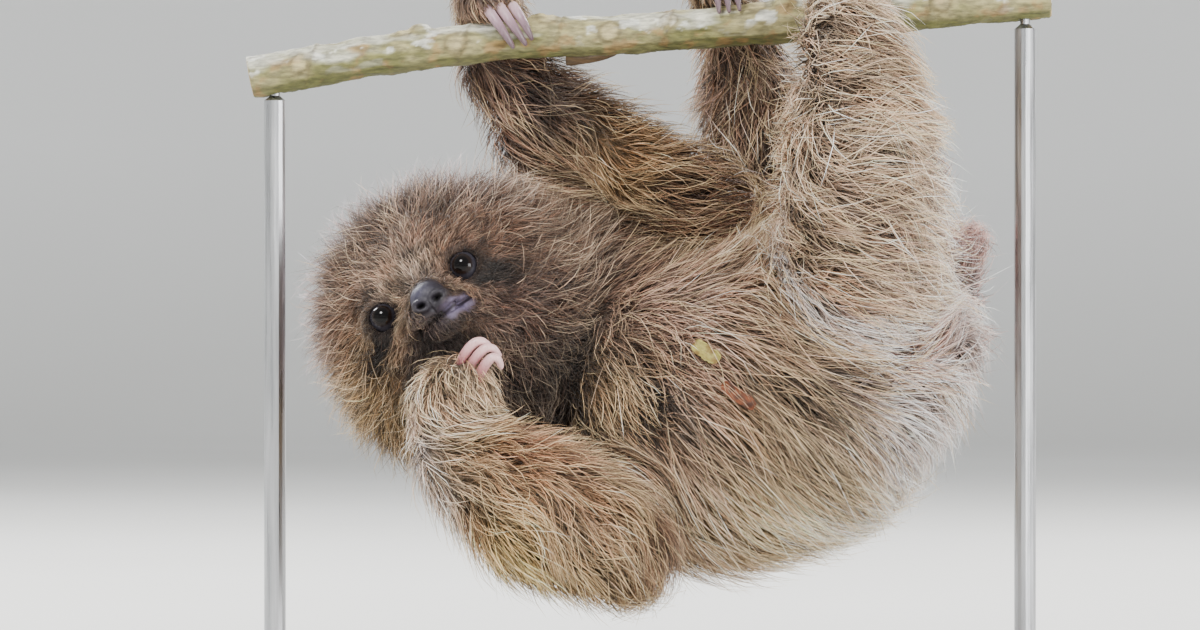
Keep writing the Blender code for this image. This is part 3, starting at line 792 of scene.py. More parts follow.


# The skin is painted in a darker copy of the markings: painted shade at the bottom of the coat.
SKIN_SHADE = 0.42
BODY_TONES = {
    "head": (150, 128, 114), "muzzle": (90, 78, 72), "neck": (116, 92, 78),
    "chest": (196, 164, 144), "belly": (162, 134, 104), "rump": (240, 226, 222),
    "tail": (178, 144, 138), "upper_arm_left": (138, 105, 89), "forearm_left": (140, 108, 90),
    "hand_left": (150, 126, 112), "upper_arm_right": (148, 120, 100),
    "forearm_right": (184, 158, 122), "hand_right": (190, 166, 140),
    "thigh_left": (172, 146, 128), "shank_left": (178, 152, 136), "foot_left": (164, 142, 126),
    "thigh_right": (184, 160, 140), "shank_right": (198, 174, 152), "foot_right": (168, 144, 126)}
PATCHES_AND_SHADE = (  # parts, place, radius, colour, strength
    (("chest", "belly", "rump"), (84, -24, 98), 40, (250, 236, 229), 1.0),
    (("chest", "belly"), (38, -32, 70), 34, (244, 222, 178), 1.0),
    (("chest", "belly"), (60, -30, 74), 18, (250, 234, 214), 0.8),
    # painted shade in a gap of the fur right of the throat
    (("chest", "belly"), (2, -34, 108), 15, (104, 86, 72), 0.5),
    (("chest", "belly"), (14, -28, 150), 30, (190, 158, 140), 0.8),
    # painted shade in the hollows between the belly's locks and in the groove at the leg
    (("chest", "belly"), (31, -42, 112), 14, (98, 78, 62), 0.8),
    (("chest", "belly"), (53, -46, 134), 10, (92, 73, 60), 0.8),
    (("chest", "belly"), (38, -46, 158), 10, (88, 70, 60), 0.8),
    (("chest", "belly"), (44, -46, 104), 9, (112, 92, 74), 0.6),
    (("chest", "belly"), (17, -44, 124), 13, (96, 77, 62), 0.85),
    (("neck", "chest"), (2, -34, 146), 22, (208, 174, 156), 1.0),
    # the throat's dark brown, deepened to near black as painted shadow between the head and the arm
    (("neck", "chest"), (-36, -34, 119), 15, (34, 27, 24), 1.0),
    (("neck", "chest"), (-15, -38, 119), 12, (206, 178, 138), 0.9),
    (("rump", "tail"), (96, 0, 160), 20, (172, 134, 126), 0.85),
    (("rump", "tail", "belly"), (91, -20, 136), 15, (228, 212, 203), 0.9),
    (("forearm_right", "upper_arm_right"), (-46, -75, 64), 16, (206, 182, 124), 1.0),
    (("forearm_right", "upper_arm_right", "hand_right"), (-40, -82, 100), 14, (184, 132, 100), 0.9),
    (("forearm_right", "upper_arm_right"), (-20, -88, 84), 16, (180, 136, 112), 0.7),
    # painted shade where the arm meets the body
    (("forearm_right", "upper_arm_right"), (-5, -62, 72), 16, (128, 100, 82), 0.9),
    (("forearm_right", "hand_right"), (-75, -66, 101), 9, (228, 214, 214), 0.9),
    (("forearm_right", "hand_right"), (-68, -66, 82), 10, (228, 212, 208), 0.8),
    (("forearm_left", "upper_arm_left"), (-14, 15, 190), 18, (192, 160, 118), 0.9),
    # painted shade in the crease under the far arm, and where its forearm passes by the branch
    (("forearm_left", "upper_arm_left"), (-20, 8, 166), 15, (64, 51, 45), 0.9),
    (("forearm_left",), (-37, 14, 216), 17, (66, 51, 46), 0.9),
    (("forearm_left",), (-54, 6, 206), 10, (196, 166, 156), 0.8),
    (("forearm_left",), (-48, 6, 190), 10, (190, 158, 142), 0.8),
    (("shank_left", "thigh_left"), (12, 34, 200), 15, (228, 212, 206), 0.9),
    (("shank_left", "thigh_left"), (42, 20, 196), 14, (124, 94, 76), 0.8),
    (("shank_right", "thigh_right"), (88, -40, 176), 20, (234, 214, 202), 0.8),
    (("shank_right", "thigh_right"), (56, -60, 226), 14, (168, 146, 118), 0.8),
    (("shank_right", "foot_right"), (54, -50, 234), 17, (130, 110, 95), 0.8),
    (("thigh_right",), (52, -60, 160), 12, (140, 112, 92), 0.7),
    # painted shade in the groove where the leg meets the belly
    (("thigh_right", "shank_right", "belly", "chest"), (41, -50, 170), 12, (104, 84, 74), 0.8),
    (("rump", "belly"), (56, -48, 150), 18, (188, 158, 138), 0.75),
    (("thigh_right", "rump", "belly"), (78, -58, 152), 13, (236, 216, 204), 0.8),
    (("shank_right", "thigh_right"), (43, -45, 204), 10, (150, 122, 104), 0.7),
    (("shank_right", "thigh_right"), (41, -45, 184), 10, (146, 116, 98), 0.7))
BROW_SPOTS = (  # middle in the head's own millimetres, radius, strength
    ((29, -28, 9), 8, 0.7), ((-31, -26, 4), 9, 0.5), ((8, -38, 14), 6, 0.3))


def body_markings_and_shade(points, labels):
    """The coat's colour and painted shade at each point, without the head's pattern."""
    table = np.array([tone(*BODY_TONES[name]) for name in FLESH])
    colours = table[labels]
    for kinds, place, radius, colour, strength in PATCHES_AND_SHADE:
        share = is_part(labels, *kinds) * near(points, place, radius) * strength
        colours = layered(colours, (colour, share))
    return colours


def crown_and_rim_share(points, inner, outer, side):
    """1 on the grey crown of the head behind its brow, 0 beyond its side; partly painted rim light.
    """
    local = to_head(points) / MM
    off_axis = np.hypot(local[:, 0], local[:, 2] + 3) + 3 * fractal(points, 5 * MM, 3)
    behind = step_between(off_axis, inner, outer) * step_between(local[:, 2], -20, 10)
    # the fade toward the right keeps the crown's paleness on the upper left: painted rim light
    return behind * (1 - step_between(local[:, 0], side, side + 22))


def head_markings(points):
    """The mask: dark eye stripes and throat, pale brow, grey crown and warm cheeks."""
    local = to_head(points) / MM
    x, z = local[:, 0], local[:, 2]
    forward = step_between(-local[:, 1], -5, 12)
    off_axis = np.hypot(x, z + 3)
    ragged = fractal(points, 5 * MM, 3)
    parting = bell(off_axis - 29, 6) * step_between(z, 4, 18) * step_between(ragged, -0.3, 0.5)
    ruff = step_between(x, 12, 24) * (1 - step_between(z, 4, 22))
    left_cheek = step_between(-x, 10, 26) * step_between(-z, -12, 14)
    right_cheek = step_between(x, 5, 17) * step_between(-z, 6, 15)
    right_cheek = right_cheek * (1 - step_between(off_axis, 26, 36))
    throat = step_between(-z + 2 * ragged, 22, 34) * step_between(x, -12, 8)
    colours = layered(
        # the grey crown, partly painted rim light on the upper left
        tone(134, 108, 92), ((188, 173, 184), crown_and_rim_share(points, 34, 48, 4)),
        ((92, 72, 62), parting * 0.7), ((104, 82, 70), ruff * 0.9),
        ((172, 148, 106), left_cheek * forward * 0.9),
        ((100, 75, 66), right_cheek * forward * 0.9),
        ((50, 43, 41), oval_spot(local, (-5, -20), (13, 8.5), 2) * forward * 0.95),
        ((52, 43, 38), throat * 0.9))
    for middle, radius, share in BROW_SPOTS:
        place = from_head(np.array(middle) * MM) / MM
        colours = layered(colours, ((168, 122, 94), near(points, place, radius) * share))
    bridge = oval_spot(local, (-2, 1), (9, 9))
    lilac = oval_spot(local, (2, -2), (5, 3.5))
    pale_lip = oval_spot(local, (-9, -5), (3.4, 4))
    right = along_line(local, (16, -4), (23.5, -9.5), 5.8)
    left = along_line(local, (-16, -4), (-22, -10), 6.0)
    stripes = np.clip(right + left, 0, 1) * forward + 0.17 * ragged
    colours = layered(
        colours, ((190, 170, 152), bridge * forward * 0.8),
        ((122, 112, 116), lilac * forward * 0.6), ((160, 142, 116), pale_lip * forward * 0.8),
        ((42, 34, 31), step_between(stripes, 0.22, 0.85)))
    for eye in EYES_IN_HEAD / MM:
        round_eye = bell(np.hypot(x - eye[0], z - eye[2] + 0.4), 6.6 + 0.5 * ragged, 4)
        colours = layered(colours, ((56, 44, 39), round_eye * forward * 0.8))
    snout = oval_spot(local, (-0.5, -12), (10, 7.5), 2) * step_between(-local[:, 1], 27, 38)
    return layered(colours, ((70, 60, 61), snout * 0.9))


def markings(points, labels):
    """The colour of the coat at each point, in linear values, with its painted shade."""
    head = is_part(labels, "head", "muzzle")
    both = blend_tones(body_markings_and_shade(points, labels), head_markings(points), head)
    # painted shadow between the head and the arm, over the dark throat
    throat = is_part(labels, "neck") * near(points, (-40, -34, 119), 16)
    return layered(both, ((36, 29, 26), throat * 0.95))


def bare_skin(points):
    """How far each point of the muzzle is bare: the nose, and the lips round the mouth."""
    local = to_head(points) / MM
    forward = -local[:, 1]
    ragged = 0.5 * fractal(points, 2.2 * MM, 2)
    pad = nose_ring(local) + 0.16 * step_between(local[:, 2], -7, -2) + 0.25 * ragged
    nose = (1 - step_between(pad, 0.86, 1.16)) * step_between(forward, 42, 44.5)
    lips = bell(mouth_height(local) + 0.5 + ragged, 2.5, 4)
    aside = np.abs(local[:, 0] - MOUTH_MIDDLE) + ragged
    lips *= 1 - step_between(aside, MOUTH_HALF - 2.5, MOUTH_HALF + 1)
    lips *= 0.15 + 0.85 * step_between(local[:, 0] + 2 * ragged, 0, 5.5)
    return nose, lips * step_between(forward, 34, 37)


def skin_tones(points, labels):
    """The skin: the markings darkened as painted shade, with bare grey-violet nose and lips."""
    nose, lips = bare_skin(points)
    local = to_head(points) / MM
    violet = step_between(local[:, 0], -4, 6) * (0.8 + 0.5 * fractal(points, 2.5 * MM, 3))
    lip_tones = layered(tone(58, 48, 48), ((94, 85, 108), np.clip(violet, 0, 1)))
    # painted highlight: a paler violet sheen on the upper part of the nose pad
    nose_highlight = oval_spot(local, (-1, -4.5), (4, 3)) * nose
    # painted shade: the markings darkened where the skin lies under the coat
    colours = blend_tones(markings(points, labels) * SKIN_SHADE, lip_tones, lips)
    colours = layered(colours, ((32, 28, 35), nose), ((74, 72, 96), nose_highlight * 0.5))
    # painted shade: each nostril painted near black inside
    for ring in nostril_rings(local):
        nostril_shade = (1 - step_between(ring, 0.5, 1.15)) * (local[:, 1] < -43)
        colours = layered(colours, ((10, 8, 9), nostril_shade))
    in_mouth = (np.abs(local[:, 0] - MOUTH_MIDDLE) < MOUTH_HALF) * (local[:, 1] < -33)
    colours = layered(colours, ((26, 18, 18), bell(mouth_height(local), 0.42) * in_mouth * 0.9))
    for eye in EYES_IN_HEAD / MM:
        rim = from_eye(local, eye, LID_OVAL)
        in_front = local[:, 1] < -20
        # dark lid skin round each eye, with a painted highlight on the wet edge of the lid
        colours = layered(colours, ((58, 47, 43), (1 - step_between(rim, 4.4, 6.5)) * in_front),
                          ((66, 58, 62), bell(rim - 3.5, 0.4) * in_front * 0.7))
    return colours


def skin_finish():
    material, shader = painted("skin", (800, 4), (0.75, 1.15), 0.6, Roughness=0.55,
                               Specular_IOR_Level=0.35)
    wet = node(material, "ShaderNodeAttribute")
    wet.attribute_name = "bareness"
    gloss = node(material, "ShaderNodeMapRange", Value=wet.outputs["Fac"],
                 To_Min=0.75, To_Max=0.5)
    link(material, gloss.outputs["Result"], shader.inputs["Roughness"])
    pebbles = node(material, "ShaderNodeTexVoronoi", Scale=1900.0,
                   Vector=node(material, "ShaderNodeTexCoord").outputs["Object"])
    add_bump(material, shader, pebbles.outputs["Distance"], 0.00012, 0.5)
    return material


def chart_places(points, normals, labels):
    """Each point's chart, one for each part and each of six faces, and its place on it."""
    rows = np.arange(len(points))
    axis = np.argmax(np.abs(normals), axis=1)
    charts = labels * 6 + axis * 2 + (normals[rows, axis] > 0)
    across = np.array([(1, 2), (0, 2), (0, 1)])[axis]
    return charts, np.stack((points[rows, across[:, 0]], points[rows, across[:, 1]]), axis=1)


def packed_unwrap(charts, places, margin=0.004):
    """Lay the charts out in rows so that they fill the unit square without overlapping."""
    found = np.unique(charts)
    low = {chart: places[charts == chart].min(0) for chart in found}
    size = {chart: places[charts == chart].max(0) - low[chart] + 1e-6 for chart in found}
    order = sorted(found, key=lambda chart: -size[chart][1])
    scale = 1.0 / max(math.sqrt(sum(wide * high for wide, high in size.values())), 1e-9)
    while True:
        spot, x, y, row = {}, margin, margin, 0.0
        for chart in order:
            wide, high = size[chart] * scale
            if x + wide + margin > 1:
                x, y, row = margin, y + row + margin, 0.0
            spot[chart] = (x, y)
            x += wide + margin
            row = max(row, high)
        widest = max(size[chart][0] for chart in found) * scale
        if y + row + margin <= 1 and widest < 1 - 2 * margin:
            break
        scale *= 0.97
    start = np.array([spot[chart] for chart in found])
    corner = np.array([low[chart] for chart in found])
    index = np.searchsorted(found, charts)
    return start[index] + (places - corner[index]) * scale


def unwrap_skin(mesh):
    """Lay the skin out on its own charts, face by face."""
    corner_vertex = mesh_values(mesh.loops, "vertex_index", 1, np.int32)
    sizes = mesh_values(mesh.polygons, "loop_total", 1, np.int32)
    starts = mesh_values(mesh.polygons, "loop_start", 1, np.int32)
    normals = mesh_values(mesh.polygons, "normal", 3)
    owner = np.repeat(np.arange(len(sizes)), sizes)
    labels = skin_labels[corner_vertex[starts]][owner]
    charts, places = chart_places(skin_points[corner_vertex], normals[owner], labels)
    layer = mesh.uv_layers.new(name="OFBake")
    layer.data.foreach_set("uv", packed_unwrap(charts, places).astype(np.float32).ravel())


paint_points(skin_mesh, skin_tones(skin_points, skin_labels))
bare_nose, bare_lips = bare_skin(skin_points)
bareness = skin_mesh.attributes.new("bareness", "FLOAT", "POINT")
bareness.data.foreach_set(
    "value", np.clip(bare_nose + bare_lips * 0.7, 0, 1).astype(np.float32))
unwrap_skin(skin_mesh)
skin = add_piece("skin", skin_mesh, skin_finish())
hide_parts(*FLESH)
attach(skin, "root")


# ---- The eyes ------------------------------------------------------------------------------
# Two glass eyes, almost black: a dark brown iris round a wide pupil under a clear wet dome.
# Each is set under the lids of the skin.
EYE_WHITE = (44, 42, 48)
IRIS = (26, 18, 15)
PUPIL = (9, 7, 7)
IRIS_EDGE = (44, 50)
PUPIL_EDGE = (26, 34)
BULGE = 0.03


def eye_glass():
    return painted("eye_glass", (1500, 4), (0.7, 1.3), 0.5, (0.04, 0.09), (0.00001, 0.2),
                   Roughness=0.06, IOR=1.38, Specular_IOR_Level=0.28)[0]


def make_eye(name, centre, finish):
    """A ball with a slightly bulging front; the pupil faces the way the head does."""
    bm = bmesh.new()
    bmesh.ops.create_uvsphere(bm, u_segments=48, v_segments=32, radius=EYE_RADIUS)
    mesh = bpy.data.meshes.new(name)
    bm.to_mesh(mesh)
    bm.free()
    outward = np.array(HEAD_TURN.to_3x3() @ Vector((0, -1, 0)))
    points = vertex_array(mesh)
    front = points @ outward / EYE_RADIUS
    bulge = BULGE * step_between(front, 0.6, 1.0)
    set_vertices(mesh, points * (1 + bulge)[:, None] + np.array(centre))
    off_axis = np.degrees(np.arccos(np.clip(front, -1, 1)))
    paint_points(mesh, layered(tone(*EYE_WHITE), (IRIS, 1 - step_between(off_axis, *IRIS_EDGE)),
                               (PUPIL, 1 - step_between(off_axis, *PUPIL_EDGE))))
    return add_piece(name, mesh, finish)


eye_finish = eye_glass()
for side, centre in zip(("left", "right"), EYES):
    eye = make_eye(f"glass_eye_{side}", centre, eye_finish)
    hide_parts(f"eye_{side}")
    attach(eye, "root")


# ---- The claws -----------------------------------------------------------------------------
# Three long curved claws on each hand and foot, of smooth pink-lilac horn.
# Those of the hand at the chin pale toward their tips; the others darken toward theirs.
CLAW_TONES = {"hand_right": ((160, 96, 100), (194, 140, 143), (216, 176, 175)),
              "others": ((196, 168, 172), (158, 124, 140), (104, 84, 90))}
CLAW_SWELL = {"hand_right": 0.48 * MM, "others": 0.42 * MM}


def claw_horn():
    return painted("claw_horn", (1400, 4, (1, 1, 0.35)), (0.84, 1.08), 0.8, (0.26, 0.42),
                   (0.00005, 0.5), Roughness=0.32, Subsurface_Weight=0.15,
                   Subsurface_Radius=(0.002, 0.001, 0.0008))[0]


def make_claw(node_name, limb, finish):
    """The claw made smooth, with its colour running from the limb to the tip."""
    kind = limb if limb in CLAW_TONES else "others"
    rounded = add_object(node_name, cad_copy(node_name, swell=CLAW_SWELL[kind]))
    smooth = rounded.modifiers.new("round", "SUBSURF")
    smooth.levels = 2
    smooth.render_levels = 2
    mesh = worked_mesh(rounded, "horn_" + node_name)
    low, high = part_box(limb)
    reach = np.linalg.norm(vertex_array(mesh) - np.array((low + high) / 2), axis=1)
    share = step_between(reach, reach.min() + 1 * MM, reach.max())
    base, middle, tip = CLAW_TONES[kind]
    paint_points(mesh, layered(tone(*base), (middle, share), (tip, share ** 3)))
    claw = add_piece("horn_" + node_name, mesh, finish)
    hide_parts(node_name)
    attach(claw, "root")


horn_finish = claw_horn()
for limb in ("hand_left", "hand_right", "foot_left", "foot_right"):
    for number in (1, 2, 3):
        make_claw(f"claw_{limb}_{number}", limb, horn_finish)


# ---- The coat ------------------------------------------------------------------------------
# Coarse hair in thin tufts, rooted in the skin: a dense short undercoat under long wavy hairs
# that gather in loose locks with pale tips. It spreads from the nose over the head, from the
# cheek over the trunk, and from wrists and ankles to elbows and knees; the face is shortest.
HAIR = {  # length, width in mm, long hairs on each square mm, gathering, standing, bend
    "head": (14.5, 0.24, 0.82, 0.45, 0.8, 2.2), "muzzle": (1.8, 0.18, 1.8, 0.05, 0.2, 0.1),
    "neck": (22, 0.32, 0.4, 0.6, 0.5, 1.0), "chest": (29, 0.32, 0.4, 0.6, 0.35, 0.7),
    "belly": (28, 0.32, 0.53, 0.65, 0.4, 0.7), "rump": (20, 0.32, 0.5, 0.5, 0.9, 0.8),
    "tail": (13, 0.3, 0.66, 0.35, 0.9, 0.6), "upper_arm": (17, 0.29, 0.52, 0.5, 0.45, 0.7),
    "forearm": (17, 0.29, 0.54, 0.55, 0.5, 0.6), "hand": (10, 0.3, 0.9, 0.5, 0.35, 0.8),
    "thigh": (24, 0.34, 0.47, 0.9, 0.6, 1.2), "shank": (23, 0.34, 0.51, 0.9, 0.65, 1.2),
    "foot": (9, 0.3, 0.8, 0.5, 0.35, 0.6)}
FACE_HAIR = (5.2, 0.2, 2.3, 0.35, 0.5, 1.5)
FIELD_ROUNDS = (12, 6, 6, 6, 10, 6)  # how softly each column of HAIR runs into the next part
LONG_STEPS = 4
UNDER_STEPS = 2
UNDER_SHARE = 1.1  # undercoat hairs for each long one
UNDER_WIDTH = 1.7
FAR_SIDE_SHARE = 0.45  # the back carries fewer and wider hairs
FAR_SIDE_WIDTH = 1.3
STRAY_SHARE = 0.22  # guard hairs that stand clear of the locks
SHORT_STRAYS = 0.45
ROOT_DEPTH = 0.5 * MM
BARK_GAP = 0.35 * MM
LOCK_REACH = 7 * MM
OUTLINE_VOXEL = 2.4 * MM
LOFT = 1.18  # the coat's height, as a share of the way out to the body's outline
LIMB_LOFT = 0.14
LIMB_EXTRA = 0.7 * MM
DARK_HAIRS = 0.14
PALEST = 0.92
EYE_CLEARANCE = 3.7
LONG_PROFILE = (0.7, 1.0, 0.9, 0.6)  # width at each ring, from the root
UNDER_PROFILE = (0.9, 1.0)
# Painted shade deep in the coat: roots and undercoat darker than the marking, partly the hair's own
# dark base.
LONG_SHADES = (0.28, 0.52, 0.9, 1.15, 1.4)  # shade of the marking, from root to tip
UNDER_SHADES = (0.18, 0.42, 0.7)
LONG_PALER = (0, 0, 0.1, 0.5, 1)  # share of the tip's own colour, from root to tip
GUARD_PALER = (0, 0.2, 0.6, 0.85, 1)
UNDER_PALER = (0, 0, 0.3)
# near-white tips on the crown, partly painted rim light
CROWN_TIP = (232, 222, 236)
TUFT_PATCH = (0.001, 0.003)
PARTING = np.array((-38, -8, 136)) * MM
FACE_MIDDLE = np.array((0, -38, -4)) * MM
FOREARM_FLUFF = (  # place, radius, extra height
    ((-49, 6, 206), 15, 4.6), ((-43, 8, 188), 12, 4.6))
ENDS = {  # where the hair of each limb part runs to, in mm
    "hand_left": (-44, 24, 205), "forearm_left": (36, 25, 164), "upper_arm_left": (40, 27, 172),
    "hand_right": (-60, -70, 92), "forearm_right": (-2, -62, 44), "upper_arm_right": (-2, -54, 48),
    "foot_left": (32, 36, 215), "shank_left": (44, 52, 165), "thigh_left": (60, 44, 140),
    "foot_right": (66, -34, 215), "shank_right": (74, -42, 165), "thigh_right": (84, -44, 140)}
TIP_TONES = {"head": (232, 210, 176), "rump": (240, 226, 220), "tail": (206, 180, 172)}
STRAW = (222, 200, 154)
FROST = (242, 230, 224)


def unit(vectors):
    return vectors / np.maximum(np.linalg.norm(vectors, axis=-1, keepdims=True), 1e-9)


def along_surface(way, normals):
    return unit(way - normals * dot(way, normals)[:, None])


def turned(way, normals, angle):
    """Each direction turned about its normal, in radians."""
    return way * np.cos(angle)[:, None] + np.cross(normals, way) * np.sin(angle)[:, None]


def flow(points, normals, labels):
    """The way the hair lies at each point, along the skin."""
    way = unit(points - PARTING)
    drop = 0.45 + 0.55 * step_between(points[:, 0], 30 * MM, 85 * MM)
    way = way + np.stack((np.full(len(points), 0.25), np.zeros(len(points)), -drop), axis=1)
    head = is_part(labels, "head", "muzzle") > 0
    radial = unit(to_head(points[head]) - FACE_MIDDLE) @ HEAD_AXES.T
    way[head] = radial + np.array((0.18, 0.1, -0.22))
    for eye in EYES_IN_HEAD:
        offset = to_head(points[head]) - eye
        close = bell(np.linalg.norm(offset, axis=1), 8 * MM)
        way[head] += 2.0 * close[:, None] * (unit(offset) @ HEAD_AXES.T)
    for name, end in ENDS.items():
        part = labels == FLESH.index(name)
        way[part] = unit(np.array(end) * MM - points[part])
    leg = is_part(labels, "shank_right", "thigh_right") > 0
    way[leg] += 1.5 * unit(np.cross((0, 0, 1.0), normals[leg])) + np.array((0, 0, 0.15))
    wrist = is_part(labels, "hand_right", "forearm_right") * near(points, (-56, -72, 98), 14)
    way += 1.4 * wrist[:, None] * np.cross((0, 0, 1.0), normals)
    tail = labels == FLESH.index("tail")
    way[tail] = np.array((0.5, 0, 0.8))
    return along_surface(way, normals)


def hair_field(column, rounds):
    """One column of the table of hair, spread smoothly over the skin."""
    table = np.array([HAIR[part_kind(name)][column] for name in FLESH])
    values = table[skin_labels] * (1 - skin_face) + FACE_HAIR[column] * skin_face
    return spread(values, skin_edges, rounds)


skin_tree, skin_triangles = tree_of(skin_mesh)
skin_face = face_share(skin_points, 15, 29) * is_part(skin_labels, "head", "muzzle")
skin_flow = spread(flow(skin_points, skin_normals, skin_labels), skin_edges, 8)
swirl = 0.8 * fractal(skin_points, 13 * MM, 2) + 0.8 * fractal(skin_points + 4, 5 * MM, 2)
swirl *= (1 - 0.85 * skin_face) * (1 + 0.4 * is_part(skin_labels, "thigh", "shank"))
swirl *= 1 - 0.45 * is_part(skin_labels, "neck", "chest", "belly")
skin_flow = turned(along_surface(skin_flow, skin_normals), skin_normals, swirl)
skin_length, skin_width, skin_density, skin_gather, skin_stand, skin_bend = (
    hair_field(column, rounds) for column, rounds in enumerate(FIELD_ROUNDS))
skin_length *= MM
skin_width *= MM
for eye in EYES_IN_HEAD:
    eye_distance = np.linalg.norm(to_head(skin_points) - eye, axis=1)
    skin_length *= 1 - 0.5 * bell(eye_distance, 8 * MM, 4)


def coat_heights():
    """How far the coat stands off the skin: out to the body's own outline."""
    body = remeshed(cad_copy(*FLESH, swell=0.3 * MM), OUTLINE_VOXEL, "outline", 2)
    tree, _ = tree_of(body)
    places, _, _ = nearest_on(tree, skin_points)
    bpy.data.meshes.remove(body)
    heights = np.linalg.norm(places - skin_points, axis=1)
    return spread(np.clip(heights, 0.3 * MM, 12 * MM), skin_edges, 8)


skin_height = coat_heights()
skin_limb = is_part(skin_labels, "tail", *LIMBS)
skin_height = skin_height * (LOFT + LIMB_LOFT * skin_limb) + LIMB_EXTRA * skin_limb
forearm = is_part(skin_labels, "forearm_left")
for place, radius, extra in FOREARM_FLUFF:
    skin_height += extra * MM * near(skin_points, place, radius) * forearm
branch_tree, _ = tree_of(branch.data)


def root_places(wanted_on, random, share):
    """Places for the roots, evenly spread over the chosen triangles of the skin."""
    corners = skin_points[skin_triangles]
    one, other = corners[:, 1] - corners[:, 0], corners[:, 2] - corners[:, 0]
    area = np.linalg.norm(np.cross(one, other), axis=1) / 2
    bald = np.clip(bare_nose * 1.6 + bare_lips * 1.2, 0, 1)
    local = to_head(skin_points)
    for eye in EYES_IN_HEAD:
        on_eye = (from_eye(local, eye) < 4.0 * MM) & (local[:, 1] < -15 * MM)
        bald = np.maximum(bald, on_eye)
    first = skin_triangles[:, 0]
    behind = 1 - (1 - FAR_SIDE_SHARE) * step_between(skin_normals[first, 1], 0.0, 0.5)
    wanted = area / MM ** 2 * skin_density[first] * (1 - bald[first]) * wanted_on[first] * behind
    running = np.cumsum(wanted * share)
    count = int(running[-1])
    spots = (np.arange(count) + random.random(count)) * running[-1] / count
    chosen = np.clip(np.searchsorted(running, spots), 0, len(skin_triangles) - 1)
    a, b = random.random((2, count))
    flip = a + b > 1
    a[flip], b[flip] = 1 - a[flip], 1 - b[flip]
    points = corners[chosen, 0] + one[chosen] * a[:, None] + other[chosen] * b[:, None]
    return points, first[chosen]


def keep_off_branch(points):
    """Move any point that lies in the branch out to its bark."""
    low, high = (np.array(corner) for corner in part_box("perch"))
    close = np.flatnonzero(np.all((points > low - 1 * MM) & (points < high + 1 * MM), axis=1))
    if len(close):
        places, normals, _ = nearest_on(branch_tree, points[close])
        inside = dot(points[close] - places, normals) < BARK_GAP
        points[close[inside]] = places[inside] + normals[inside] * BARK_GAP
    return points


def clear_of_face(lines):
    """True for the tufts that pass over neither an eye, the nose nor the open lips."""
    clear = np.ones(len(lines), bool)
    for ring in range(1, lines.shape[1]):
        local = to_head(lines[:, ring]) / MM
        for eye in EYES_IN_HEAD / MM:
            clear &= (from_eye(local, eye) > EYE_CLEARANCE) | (local[:, 1] > -20)
        nose, lips = bare_skin(lines[:, ring])
        clear &= (nose < 0.5) & (lips < 0.7)
    return clear


def grow(roots, index, random, steps, reach, rise, strays):
    """The line of each tuft, from its root to its tip, over the skin and then off it."""
    count = len(roots)
    short = strays & (random.random(count) < SHORT_STRAYS)
    length = skin_length[index] * reach * np.where(short, 0.65, np.where(strays, 1.2, 1.0))
    height = skin_height[index] * np.where(strays, np.maximum(rise, 0.95) * 1.2, rise)
    stand = np.clip(skin_stand[index] * random.uniform(0.5, 1.4, count), 0, 1)
    stand = np.where(short, 0.5 + 0.5 * stand, stand)
    bend = skin_bend[index] * (random.normal(0, 0.75, count) + 1.1 * fractal(roots + 6, 6 * MM, 2))
    normal = skin_normals[index]
    way = turned(skin_flow[index], normal, random.normal(0, 0.2, count) * (0.6 + skin_bend[index]))
    lines = [roots - normal * ROOT_DEPTH]
    base = roots
    for step in range(1, steps + 1):
        share = step / steps
        ahead = base + way * (length / steps)[:, None]
        base, normal, triangle = nearest_on(skin_tree, ahead)
        index = skin_triangles[triangle, 0]
        sag = np.array((0, 0, -0.12)) * share
        way = along_surface(way * 0.6 + skin_flow[index] * 0.4 + sag, normal)
        way = turned(way, normal, bend / steps)
        lying = 1 - (1 - share) ** 3
        lift = lying * (1 - stand) + (0.25 * share + 0.95 * share ** 1.4) * stand
        point = base + normal * (height * lift)[:, None]
        if share > 0.7:
            onward = lines[-1] * 2 - lines[-2]
            point = point * 0.6 + onward * 0.4
        lines.append(point)
    return np.stack(lines, axis=1)


def gather(lines, strays, index, random):
    """Draw neighbouring hairs together toward their tips, so that they form loose locks."""
    guide_share = 0.13 - 0.1 * skin_gather[index]
    guides = np.flatnonzero((random.random(len(lines)) < guide_share) & ~strays)
    if len(guides) < 4:
        return lines
    tree = KDTree(len(guides))
    for place, guide in enumerate(guides):
        tree.insert(lines[guide, 0], place)
    tree.balance()
    wander = lines[:, 0] + random.normal(0, 1.2 * MM, (len(lines), 3))
    nearest = np.array([tree.find(root)[1] for root in wander.tolist()])
    leader = lines[guides[nearest]]
    apart = np.linalg.norm(leader[:, 0] - lines[:, 0], axis=1)
    pull = skin_gather[index] * random.uniform(0.2, 1.3, len(lines)) * ~strays
    pull = np.clip(pull * (apart < LOCK_REACH), 0, 0.93)
    share = pull[:, None] * np.linspace(0, 1, lines.shape[1]) ** 1.2
    return lines * (1 - share[:, :, None]) + leader * share[:, :, None]


def skin_normals_at(lines):
    """The skin's normal below the middle of each line, for the whole of it."""
    _, normals, _ = nearest_on(skin_tree, lines[:, lines.shape[1] // 2])
    return normals[:, None, :]


